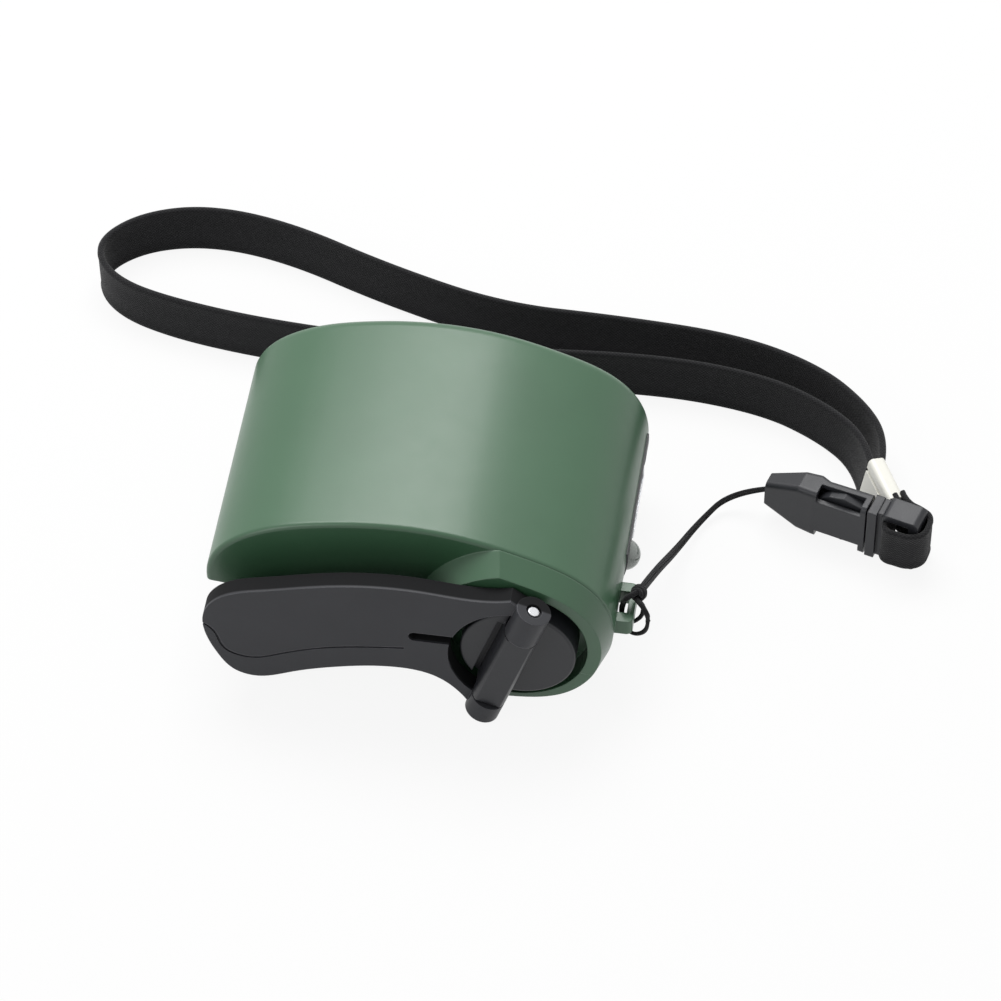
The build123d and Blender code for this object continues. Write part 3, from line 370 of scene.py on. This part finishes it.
# %% Knot
KNOT_TURNS = 3.2
KNOT_RADIUS = 0.00085
KNOT_STEPS = 96
KNOT_NARROW = 0.55
KNOT_MARGIN = 0.0002
KNOT_SECTION = band_section(0.0009, 0.0008)
knot_points = []
for step in range(KNOT_STEPS + 1):
    share = step / KNOT_STEPS
    angle = 2 * math.pi * KNOT_TURNS * share
    swell = math.sin(math.pi * share) ** 0.5
    radius = KNOT_RADIUS * (KNOT_NARROW + (1 - KNOT_NARROW) * swell)
    centre = KNOT_BACK + KNOT_RUN * (KNOT_MARGIN + (KNOT_LENGTH - 2 * KNOT_MARGIN) * share)
    knot_points.append(centre + (KNOT_SIDE * math.cos(angle) + KNOT_UP * math.sin(angle)) * radius)
knot = carry_section("cord_knot", knot_points, KNOT_SECTION, lambda share: 0.0)

# %% [markdown]
# ## The folded strap end
# In front of the white clip the strap's end goes through the ring of the buckle and back, round the
# ring's end bar. The fold is the same band with tighter bends, so its line is drawn in plan beside
# the buckle and stands upright, leaning with the clip at its two ends.

# %% Strap end round the ring
BUCKLE_NOSE = Vector((0.0334, 0.0410, -0.0135))
BUCKLE_TURN = math.radians(-16.2)
FOLD_MIDDLE = 0.0052
FOLD_WIDTH = 0.0076
FOLD_THICK = 0.0009
FOLD_END = 0.2
FOLD_ROUTE = (
    (0.0192, 0.0039),
    (0.0200, 0.0032),
    (0.02075, 0.0022),
    (0.02085, 0.0006),
    (0.0208, -0.0012),
    (0.0206, -0.0026),
    (0.0213, -0.0033),
    (0.0230, -0.0034),
    (0.0252, -0.0031),
    (0.0267, -0.0018),
    (0.02695, 0.0002),
    (0.0264, 0.0022),
    (0.0248, 0.0030),
    (0.0226, 0.0033),
    (0.0209, 0.0042),
    (0.0201, 0.0049),
)


def beside_buckle(along, through, height):
    """A point measured from the foot of the buckle's nose, in the frame."""
    cosine = math.cos(BUCKLE_TURN)
    sine = math.sin(BUCKLE_TURN)
    x = BUCKLE_NOSE.x + along * cosine - through * sine
    y = BUCKLE_NOSE.y + along * sine + through * cosine
    return at(x, y, BUCKLE_NOSE.z + height)


def fold_lean(share):
    """The clip's lean at both ends, which face opposite ways, and none round the bar."""
    near_end = max(0.0, 1 - share / FOLD_END) - max(0.0, 1 - (1 - share) / FOLD_END)
    return -CLIP_LEAN * near_end


fold_points = [beside_buckle(along, through, FOLD_MIDDLE) for along, through in FOLD_ROUTE]
fold_line = loop_line("fold_line", fold_points)
fold = carry_section("strap_fold", fold_line, band_section(FOLD_WIDTH, FOLD_THICK), fold_lean)

# %% [markdown]
# ## The soft parts hang on the case
# The strap and the thin cord are free cords. They hang on the housing's body with their loop, knot
# and folded end, and the CAD parts that they stand in for are hidden.

for piece, node in (
    (strap, "wrist_strap"),
    (thin_cord, "phone_cord"),
    (loop, "lanyard_loop"),
    (knot, "lanyard_knot"),
    (fold, "strap_tab"),
):
    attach(piece, "housing")
    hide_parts(node)

# %% [markdown]
# ## Node groups for the finishes
# Moulded plastic is never perfectly even: it has a fine grain, a faint mottle, edges that are a
# little round and brighter, and a roughness that changes with handling. The brighter edges are partly
# rubbed wear and partly a painted highlight along the edges. One group makes these, and every
# plastic and metal part places it with its own numbers. The round edge comes from the Bevel node,
# which bends the normals near an edge and leaves the mesh alone.

# %% A helper for nodes
def add_node(tree, kind, place=(0, 0), **settings):
    node = tree.nodes.new(kind)
    node.location = place
    for name, value in settings.items():
        setattr(node, name, value)
    return node


def join(tree, start, end):
    tree.links.new(start, end)


def group_socket(tree, name, kind, direction, value=None):
    socket = tree.interface.new_socket(name, in_out=direction, socket_type=kind)
    if value is not None:
        socket.default_value = value


# %% Group: moulded surface
def make_moulded_surface():
    tree = bpy.data.node_groups.new("moulded_surface", "ShaderNodeTree")
    group_socket(tree, "Colour", "NodeSocketColor", "INPUT", (0.5, 0.5, 0.5, 1))
    group_socket(tree, "Worn And Lit Edge Colour", "NodeSocketColor", "INPUT", (0.7, 0.7, 0.7, 1))
    group_socket(tree, "Mottle", "NodeSocketFloat", "INPUT", 0.08)
    group_socket(tree, "Grain Size", "NodeSocketFloat", "INPUT", 2600.0)
    group_socket(tree, "Grain Depth", "NodeSocketFloat", "INPUT", 0.00001)
    group_socket(tree, "Roughness", "NodeSocketFloat", "INPUT", 0.4)
    group_socket(tree, "Roughness Spread", "NodeSocketFloat", "INPUT", 0.12)
    group_socket(tree, "Edge Width", "NodeSocketFloat", "INPUT", 0.00025)
    group_socket(tree, "Edge Wear And Highlight", "NodeSocketFloat", "INPUT", 0.5)
    group_socket(tree, "Colour", "NodeSocketColor", "OUTPUT")
    group_socket(tree, "Roughness", "NodeSocketFloat", "OUTPUT")
    group_socket(tree, "Normal", "NodeSocketVector", "OUTPUT")
    inside = add_node(tree, "NodeGroupInput", (-1200, 0))
    outside = add_node(tree, "NodeGroupOutput", (900, 0))
    where = add_node(tree, "ShaderNodeTexCoord", (-1200, 400))
    grain = add_node(tree, "ShaderNodeTexNoise", (-900, 400))
    grain.inputs["Detail"].default_value = 2.0
    join(tree, where.outputs["Object"], grain.inputs["Vector"])
    join(tree, inside.outputs["Grain Size"], grain.inputs["Scale"])
    mottle = add_node(tree, "ShaderNodeTexNoise", (-900, 150))
    mottle.inputs["Scale"].default_value = 90.0
    mottle.inputs["Detail"].default_value = 4.0
    join(tree, where.outputs["Object"], mottle.inputs["Vector"])
    smudge = add_node(tree, "ShaderNodeTexNoise", (-900, -100))
    smudge.inputs["Scale"].default_value = 260.0
    smudge.inputs["Detail"].default_value = 3.0
    smudge.inputs["Distortion"].default_value = 0.6
    join(tree, where.outputs["Object"], smudge.inputs["Vector"])
    soft = add_node(tree, "ShaderNodeBevel", (-900, -350), samples=6)
    join(tree, inside.outputs["Edge Width"], soft.inputs["Radius"])
    plain = add_node(tree, "ShaderNodeNewGeometry", (-900, -550))
    likeness = add_node(tree, "ShaderNodeVectorMath", (-650, -400), operation="DOT_PRODUCT")
    join(tree, soft.outputs["Normal"], likeness.inputs[0])
    join(tree, plain.outputs["Normal"], likeness.inputs[1])
    edge = add_node(tree, "ShaderNodeMapRange", (-450, -400))
    edge.inputs["From Min"].default_value = 0.995
    edge.inputs["From Max"].default_value = 0.86
    join(tree, likeness.outputs["Value"], edge.inputs["Value"])
    # The edges get a brighter colour here: partly rubbed wear, partly a painted highlight along the
    # edges.
    rubbed_and_lit_edge = add_node(tree, "ShaderNodeMath", (-250, -300), operation="MULTIPLY")
    join(tree, edge.outputs["Result"], rubbed_and_lit_edge.inputs[0])
    join(tree, smudge.outputs["Fac"], rubbed_and_lit_edge.inputs[1])
    wear_and_highlight = add_node(tree, "ShaderNodeMath", (-50, -300), operation="MULTIPLY", use_clamp=True)
    join(tree, rubbed_and_lit_edge.outputs[0], wear_and_highlight.inputs[0])
    join(tree, inside.outputs["Edge Wear And Highlight"], wear_and_highlight.inputs[1])
    swing = add_node(tree, "ShaderNodeMath", (-650, 150), operation="SUBTRACT")
    swing.inputs[1].default_value = 0.5
    join(tree, mottle.outputs["Fac"], swing.inputs[0])
    amount = add_node(tree, "ShaderNodeMath", (-450, 150), operation="MULTIPLY_ADD")
    amount.inputs[2].default_value = 1.0
    join(tree, swing.outputs[0], amount.inputs[0])
    join(tree, inside.outputs["Mottle"], amount.inputs[1])
    shade = add_node(tree, "ShaderNodeVectorMath", (-250, 100), operation="SCALE")
    join(tree, inside.outputs["Colour"], shade.inputs[0])
    join(tree, amount.outputs[0], shade.inputs["Scale"])
    mixed = add_node(tree, "ShaderNodeMix", (150, 100), data_type="RGBA")
    join(tree, wear_and_highlight.outputs[0], mixed.inputs["Factor"])
    join(tree, shade.outputs["Vector"], mixed.inputs[6])
    join(tree, inside.outputs["Worn And Lit Edge Colour"], mixed.inputs[7])
    join(tree, mixed.outputs[2], outside.inputs["Colour"])
    uneven = add_node(tree, "ShaderNodeMath", (-450, -100), operation="SUBTRACT")
    uneven.inputs[1].default_value = 0.5
    join(tree, smudge.outputs["Fac"], uneven.inputs[0])
    rough = add_node(tree, "ShaderNodeMath", (-200, -80), operation="MULTIPLY_ADD", use_clamp=True)
    join(tree, uneven.outputs[0], rough.inputs[0])
    join(tree, inside.outputs["Roughness Spread"], rough.inputs[1])
    join(tree, inside.outputs["Roughness"], rough.inputs[2])
    join(tree, rough.outputs[0], outside.inputs["Roughness"])
    bump = add_node(tree, "ShaderNodeBump", (400, -300))
    join(tree, inside.outputs["Grain Depth"], bump.inputs["Distance"])
    join(tree, grain.outputs["Fac"], bump.inputs["Height"])
    join(tree, soft.outputs["Normal"], bump.inputs["Normal"])
    join(tree, bump.outputs["Normal"], outside.inputs["Normal"])
    return tree


moulded_surface = make_moulded_surface()
print("group", moulded_surface.name, "has", len(moulded_surface.nodes), "nodes")

# %% [markdown]
# Webbing is woven from ribs that cross the band. On a band the pattern has to follow the surface,
# so this group reads the band's own map in metres: waves along it make the ribs, and finer waves
# across it break them into threads.

# %% Group: woven band
def make_woven_band():
    tree = bpy.data.node_groups.new("woven_band", "ShaderNodeTree")
    group_socket(tree, "Colour", "NodeSocketColor", "INPUT", (0.02, 0.02, 0.02, 1))
    group_socket(tree, "Lit Colour", "NodeSocketColor", "INPUT", (0.06, 0.06, 0.06, 1))
    group_socket(tree, "Rib Spacing", "NodeSocketFloat", "INPUT", 0.0005)
    group_socket(tree, "Thread Spacing", "NodeSocketFloat", "INPUT", 0.0004)
    group_socket(tree, "Colour", "NodeSocketColor", "OUTPUT")
    group_socket(tree, "Roughness", "NodeSocketFloat", "OUTPUT")
    group_socket(tree, "Height", "NodeSocketFloat", "OUTPUT")
    inside = add_node(tree, "NodeGroupInput", (-1200, 0))
    outside = add_node(tree, "NodeGroupOutput", (800, 0))
    where = add_node(tree, "ShaderNodeUVMap", (-1200, 300), uv_map="UVMap")
    split = add_node(tree, "ShaderNodeSeparateXYZ", (-1000, 300))
    join(tree, where.outputs["UV"], split.inputs[0])
    waves = []
    for axis, spacing, height in (("X", "Rib Spacing", 300), ("Y", "Thread Spacing", 50)):
        turns = add_node(tree, "ShaderNodeMath", (-800, height), operation="DIVIDE")
        join(tree, split.outputs[axis], turns.inputs[0])
        join(tree, inside.outputs[spacing], turns.inputs[1])
        angle = add_node(tree, "ShaderNodeMath", (-600, height), operation="MULTIPLY")
        angle.inputs[1].default_value = 2 * math.pi
        join(tree, turns.outputs[0], angle.inputs[0])
        wave = add_node(tree, "ShaderNodeMath", (-400, height), operation="SINE")
        join(tree, angle.outputs[0], wave.inputs[0])
        waves.append(wave)
    weave = add_node(tree, "ShaderNodeMath", (-200, 200), operation="MULTIPLY")
    join(tree, waves[0].outputs[0], weave.inputs[0])
    join(tree, waves[1].outputs[0], weave.inputs[1])
    lifted = add_node(tree, "ShaderNodeMapRange", (0, 200))
    lifted.inputs["From Min"].default_value = -1.0
    join(tree, weave.outputs[0], lifted.inputs["Value"])
    fuzz = add_node(tree, "ShaderNodeTexNoise", (-400, -250))
    fuzz.inputs["Scale"].default_value = 1500.0
    fuzz.inputs["Detail"].default_value = 3.0
    place = add_node(tree, "ShaderNodeTexCoord", (-700, -250))
    join(tree, place.outputs["Object"], fuzz.inputs["Vector"])
    threads = add_node(tree, "ShaderNodeMath", (200, 0), operation="MULTIPLY")
    join(tree, lifted.outputs["Result"], threads.inputs[0])
    join(tree, fuzz.outputs["Fac"], threads.inputs[1])
    colour = add_node(tree, "ShaderNodeMix", (450, 100), data_type="RGBA")
    join(tree, threads.outputs[0], colour.inputs["Factor"])
    join(tree, inside.outputs["Colour"], colour.inputs[6])
    join(tree, inside.outputs["Lit Colour"], colour.inputs[7])
    join(tree, colour.outputs[2], outside.inputs["Colour"])
    rough = add_node(tree, "ShaderNodeMapRange", (450, -100))
    rough.inputs["To Min"].default_value = 0.95
    rough.inputs["To Max"].default_value = 0.72
    join(tree, threads.outputs[0], rough.inputs["Value"])
    join(tree, rough.outputs["Result"], outside.inputs["Roughness"])
    height = add_node(tree, "ShaderNodeMath", (450, -350), operation="ADD")
    join(tree, lifted.outputs["Result"], height.inputs[0])
    join(tree, fuzz.outputs["Fac"], height.inputs[1])
    join(tree, height.outputs[0], outside.inputs["Height"])
    return tree


woven_band = make_woven_band()
print("group", woven_band.name, "has", len(woven_band.nodes), "nodes")

# %% [markdown]
# ## Finishes
# Each finish is one material: the group gives what changes over the surface, and what is the same
# everywhere, such as metal or coat, is set on the shader itself.

# %% Materials from the moulded surface
def moulded(name, colour, worn_and_lit_edge, rough, spread=0.12, grain=2600.0, depth=0.000008, mottle=0.1,
            edge_width=0.00025, edge_wear_and_highlight=0.5, metallic=0.0, coat=0.0, coat_rough=0.1,
            specular=0.5):
    material = bpy.data.materials.new(name)
    material.use_nodes = True
    tree = material.node_tree
    shader = tree.nodes["Principled BSDF"]
    shader.inputs["Metallic"].default_value = metallic
    shader.inputs["Coat Weight"].default_value = coat
    shader.inputs["Coat Roughness"].default_value = coat_rough
    shader.inputs["Specular IOR Level"].default_value = specular
    group = add_node(tree, "ShaderNodeGroup", (-300, 200), node_tree=moulded_surface)
    group.inputs["Colour"].default_value = (*colour, 1)
    group.inputs["Worn And Lit Edge Colour"].default_value = (*worn_and_lit_edge, 1)
    group.inputs["Mottle"].default_value = mottle
    group.inputs["Grain Size"].default_value = grain
    group.inputs["Grain Depth"].default_value = depth
    group.inputs["Roughness"].default_value = rough
    group.inputs["Roughness Spread"].default_value = spread
    group.inputs["Edge Width"].default_value = edge_width
    group.inputs["Edge Wear And Highlight"].default_value = edge_wear_and_highlight
    join(tree, group.outputs["Colour"], shader.inputs["Base Color"])
    join(tree, group.outputs["Roughness"], shader.inputs["Roughness"])
    join(tree, group.outputs["Normal"], shader.inputs["Normal"])
    return material


green_shell = moulded("green_shell", (0.046, 0.122, 0.062), (0.13, 0.25, 0.16), 0.36,
                      spread=0.1, grain=3800.0, depth=0.000009, mottle=0.16,
                      edge_width=0.0003, coat=0.15, coat_rough=0.25)
black_moulding = moulded("black_moulding", (0.020, 0.021, 0.025), (0.09, 0.09, 0.10), 0.38,
                         spread=0.14, grain=3000.0, depth=0.00001, mottle=0.25, specular=0.38)
# On the arm the pale worn colour and the strong edge wear are partly wear and partly a painted
# highlight along its edges and style line.
arm_moulding = moulded("arm_moulding", (0.040, 0.041, 0.046), (0.20, 0.20, 0.22), 0.40,
                       spread=0.12, grain=3000.0, depth=0.00001, mottle=0.25,
                       edge_width=0.0002, edge_wear_and_highlight=0.9, specular=0.2)
panel_black = moulded("panel_black", (0.016, 0.017, 0.02), (0.05, 0.05, 0.06), 0.45)
white_moulding = moulded("white_moulding", (0.90, 0.89, 0.82), (0.94, 0.93, 0.88), 0.35,
                         mottle=0.05)
steel = moulded("steel", (0.62, 0.63, 0.65), (0.8, 0.8, 0.82), 0.26, metallic=1.0, mottle=0.1)
brass = moulded("brass", (0.70, 0.50, 0.22), (0.85, 0.68, 0.4), 0.28, metallic=1.0)
copper = moulded("copper", (0.75, 0.34, 0.18), (0.9, 0.55, 0.35), 0.35, metallic=1.0, grain=1400.0,
                 depth=0.00003)
iron = moulded("iron", (0.28, 0.28, 0.29), (0.5, 0.5, 0.5), 0.45, metallic=1.0)
nylon = moulded("nylon", (0.72, 0.71, 0.66), (0.85, 0.84, 0.8), 0.42, mottle=0.05)
board = moulded("board", (0.02, 0.16, 0.06), (0.2, 0.4, 0.2), 0.35, mottle=0.3, coat=0.4)
chip = moulded("chip", (0.012, 0.012, 0.013), (0.05, 0.05, 0.05), 0.55)
ferrite = moulded("ferrite", (0.03, 0.03, 0.032), (0.1, 0.1, 0.1), 0.6)
cell_sleeve = moulded("cell_sleeve", (0.02, 0.05, 0.16), (0.1, 0.14, 0.3), 0.25, coat=0.5)
lead_red = moulded("lead_red", (0.45, 0.02, 0.015), (0.6, 0.1, 0.08), 0.4)
lead_black = moulded("lead_black", (0.012, 0.012, 0.013), (0.05, 0.05, 0.05), 0.45)

# %% [markdown]
# Two mouldings change their finish from one face to the next. The shell's crank end is a little
# smoother and darker than its barrel. The arm is satin in front and matt on its flanks, and the
# flanks' colour is cut to deep black as painted shade, the shade that lies between the arm and the
# case. Both changes follow depth, the frame's y, so a soft step on that coordinate is mixed in
# between the group and the shader.

# %% Finishes and painted shade that change with depth
def change_with_depth(material, start, end, rough_there, shade_there):
    """Past a depth, the roughness becomes another and the colour is scaled."""
    tree = material.node_tree
    group = tree.nodes["Group"]
    shader = tree.nodes["Principled BSDF"]
    place = add_node(tree, "ShaderNodeTexCoord", (-900, -300))
    split = add_node(tree, "ShaderNodeSeparateXYZ", (-700, -300))
    join(tree, place.outputs["Object"], split.inputs[0])
    step = add_node(tree, "ShaderNodeMapRange", (-500, -300), interpolation_type="SMOOTHSTEP")
    step.inputs["From Min"].default_value = start
    step.inputs["From Max"].default_value = end
    join(tree, split.outputs["Y"], step.inputs["Value"])
    rough = add_node(tree, "ShaderNodeMix", (-100, -200), data_type="FLOAT")
    rough.inputs[3].default_value = rough_there
    join(tree, step.outputs["Result"], rough.inputs["Factor"])
    join(tree, group.outputs["Roughness"], rough.inputs[2])
    join(tree, rough.outputs[0], shader.inputs["Roughness"])
    darker = add_node(tree, "ShaderNodeVectorMath", (-300, 400), operation="SCALE")
    darker.inputs["Scale"].default_value = shade_there
    join(tree, group.outputs["Colour"], darker.inputs[0])
    colour = add_node(tree, "ShaderNodeMix", (-100, 300), data_type="RGBA")
    join(tree, step.outputs["Result"], colour.inputs["Factor"])
    join(tree, group.outputs["Colour"], colour.inputs[6])
    join(tree, darker.outputs["Vector"], colour.inputs[7])
    join(tree, colour.outputs[2], shader.inputs["Base Color"])


SHELL_FRONT = CRANK_AXIS.y
ARM_STANDS_OUT = 0.0076
ARM_FACE = SHELL_FRONT - ARM_STANDS_OUT
change_with_depth(green_shell, SHELL_FRONT + 0.0012, SHELL_FRONT + 0.0001, 0.34, 0.9)
# Painted shade: past its front face the arm's colour is cut to 0.15, for the shade between the arm
# and the case.
change_with_depth(arm_moulding, ARM_FACE + 0.0002, ARM_FACE + 0.0006, 0.85, 0.15)
print("shell front at", round(SHELL_FRONT, 5), "arm face at", round(ARM_FACE, 5))

# %% [markdown]
# The lamp is clear plastic that looks silvery, because its dome gathers the light of the room and
# the metal cup inside throws it back. A plain glass shader would show only the black panel behind
# it, so a part of the shader is a pale body: a painted reflection of that light. Faint marks of the
# moulding change its roughness.

# %% Clear lamp
lens = bpy.data.materials.new("lens")
lens.use_nodes = True
glass = lens.node_tree.nodes["Principled BSDF"]
# Painted reflection: the pale base colour stands in for the light that the cup inside throws back.
glass.inputs["Base Color"].default_value = (0.42, 0.46, 0.43, 1)
glass.inputs["Transmission Weight"].default_value = 0.35
glass.inputs["Coat Weight"].default_value = 0.6
glass.inputs["Coat Roughness"].default_value = 0.03
glass.inputs["IOR"].default_value = 1.49
marks = add_node(lens.node_tree, "ShaderNodeTexNoise", (-500, 0))
marks.inputs["Scale"].default_value = 900.0
lens_place = add_node(lens.node_tree, "ShaderNodeTexCoord", (-700, 0))
join(lens.node_tree, lens_place.outputs["Object"], marks.inputs["Vector"])
marks_range = add_node(lens.node_tree, "ShaderNodeMapRange", (-300, 0))
marks_range.inputs["To Min"].default_value = 0.02
marks_range.inputs["To Max"].default_value = 0.10
join(lens.node_tree, marks.outputs["Fac"], marks_range.inputs["Value"])
join(lens.node_tree, marks_range.outputs["Result"], glass.inputs["Roughness"])

# %% [markdown]
# The webbing is matt black nylon. Its ribs are bumps from the woven group, and a little sheen on
# the shader makes the fuzzy edge that light catches.

# %% Webbing
def webbing(name, rib, thread, depth):
    material = bpy.data.materials.new(name)
    material.use_nodes = True
    tree = material.node_tree
    shader = tree.nodes["Principled BSDF"]
    shader.inputs["Sheen Weight"].default_value = 0.12
    shader.inputs["Sheen Roughness"].default_value = 0.5
    shader.inputs["Specular IOR Level"].default_value = 0.3
    group = add_node(tree, "ShaderNodeGroup", (-500, 200), node_tree=woven_band)
    group.inputs["Colour"].default_value = (0.005, 0.005, 0.006, 1)
    group.inputs["Lit Colour"].default_value = (0.022, 0.022, 0.024, 1)
    group.inputs["Rib Spacing"].default_value = rib
    group.inputs["Thread Spacing"].default_value = thread
    bump = add_node(tree, "ShaderNodeBump", (-250, -100))
    bump.inputs["Distance"].default_value = depth
    join(tree, group.outputs["Colour"], shader.inputs["Base Color"])
    join(tree, group.outputs["Roughness"], shader.inputs["Roughness"])
    join(tree, group.outputs["Height"], bump.inputs["Height"])
    join(tree, bump.outputs["Normal"], shader.inputs["Normal"])
    return material


strap_webbing = webbing("strap_webbing", 0.00062, 0.00052, 0.00006)
cord_webbing = webbing("cord_webbing", 0.00045, 0.00032, 0.00005)
strap.data.materials.append(strap_webbing)
fold.data.materials.append(strap_webbing)
for piece in (thin_cord, loop, knot):
    piece.data.materials.clear()
    piece.data.materials.append(cord_webbing)

# %% [markdown]
# ## Finishes on the rigid parts
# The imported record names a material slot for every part, so each part takes the finish of its slot.

# %% Give every part its finish
FINISHES = {
    "green_shell": green_shell,
    "black_moulding": black_moulding,
    "panel_black": panel_black,
    "white_moulding": white_moulding,
    "steel": steel,
    "brass": brass,
    "copper": copper,
    "iron": iron,
    "nylon": nylon,
    "board": board,
    "chip": chip,
    "ferrite": ferrite,
    "cell_sleeve": cell_sleeve,
    "lead_red": lead_red,
    "lead_black": lead_black,
    "lens": lens,
    "webbing": strap_webbing,
}
slot_of = {row["node"]: row["material_slot"] for row in frame["record"]["subparts"]}
for name, part in nodes.items():
    finish = arm_moulding if name == "crank_arm" else FINISHES[slot_of[name]]
    for slot in part.material_slots:
        slot.material = finish
print("parts with a finish:", len(slot_of))

# %% [markdown]
# ## Floor and light
# The photograph has a white ground. The floor is a pale matt sheet that also glows for the camera,
# so that it shows as white while it still takes a little of the object's shadow.

# %% Floor
def seen_as_white(tree, ray):
    """1 for the rays that show the ground as it is: straight, mirrored and through glass."""
    straight = add_node(tree, "ShaderNodeMath", (-500, 300), operation="MAXIMUM")
    join(tree, ray.outputs["Is Camera Ray"], straight.inputs[0])
    join(tree, ray.outputs["Is Glossy Ray"], straight.inputs[1])
    white = add_node(tree, "ShaderNodeMath", (-350, 300), operation="MAXIMUM")
    join(tree, straight.outputs[0], white.inputs[0])
    join(tree, ray.outputs["Is Transmission Ray"], white.inputs[1])
    return white


deselect()
bpy.ops.mesh.primitive_plane_add(size=6, location=(0, 0, 0))
floor = bpy.context.object
floor.name = "floor"
floor_paint = bpy.data.materials.new("floor_paint")
floor_paint.use_nodes = True
tree = floor_paint.node_tree
matt = tree.nodes["Principled BSDF"]
matt.inputs["Base Color"].default_value = (0.86, 0.86, 0.86, 1)
matt.inputs["Roughness"].default_value = 0.9
matt.inputs["Specular IOR Level"].default_value = 0.1
glow = add_node(tree, "ShaderNodeEmission", (0, -300))
glow.inputs["Strength"].default_value = 1.0
ray = add_node(tree, "ShaderNodeLightPath", (-600, 300))
seen = seen_as_white(tree, ray)
FLOOR_GLOW = 0.9
glow_share = add_node(tree, "ShaderNodeMath", (-150, 300), operation="MULTIPLY")
glow_share.inputs[1].default_value = FLOOR_GLOW
join(tree, seen.outputs[0], glow_share.inputs[0])
both = add_node(tree, "ShaderNodeMixShader", (300, 100))
join(tree, glow_share.outputs[0], both.inputs["Fac"])
join(tree, matt.outputs[0], both.inputs[1])
join(tree, glow.outputs[0], both.inputs[2])
join(tree, both.outputs[0], tree.nodes["Material Output"].inputs["Surface"])
floor.data.materials.append(floor_paint)

# %% [markdown]
# One large soft lamp stands behind and above the case and makes the wide gloss on its top. A
# weaker one from the front left opens the dark face, and the world fills the rest evenly.

# %% Lamps and world
def soft_lamp(name, place, target, size, power):
    data = bpy.data.lights.new(name, "AREA")
    data.shape = "RECTANGLE"
    data.size, data.size_y = size
    data.energy = power
    lamp = bpy.data.objects.new(name, data)
    bpy.context.scene.collection.objects.link(lamp)
    lamp.location = place
    aim = Vector(target) - Vector(place)
    lamp.rotation_euler = aim.to_track_quat("-Z", "Y").to_euler()
    return lamp


soft_lamp("top_lamp", (-0.15, 0.42, 0.75), (0, 0, 0.01), (0.8, 0.5), 7.5)
soft_lamp("front_lamp", (-0.55, -0.6, 0.45), (0, 0, 0.01), (0.5, 0.5), 1.6)
world = bpy.data.worlds.new("studio")
bpy.context.scene.world = world
world.use_nodes = True
sky = world.node_tree.nodes["Background"]
sky.inputs["Color"].default_value = (1, 1, 1, 1)
path = add_node(world.node_tree, "ShaderNodeLightPath", (-600, 200))
level = add_node(world.node_tree, "ShaderNodeMapRange", (-300, 200))
level.inputs["To Min"].default_value = 0.3
level.inputs["To Max"].default_value = 1.0
join(world.node_tree, seen_as_white(world.node_tree, path).outputs[0], level.inputs["Value"])
join(world.node_tree, level.outputs["Result"], sky.inputs["Strength"])
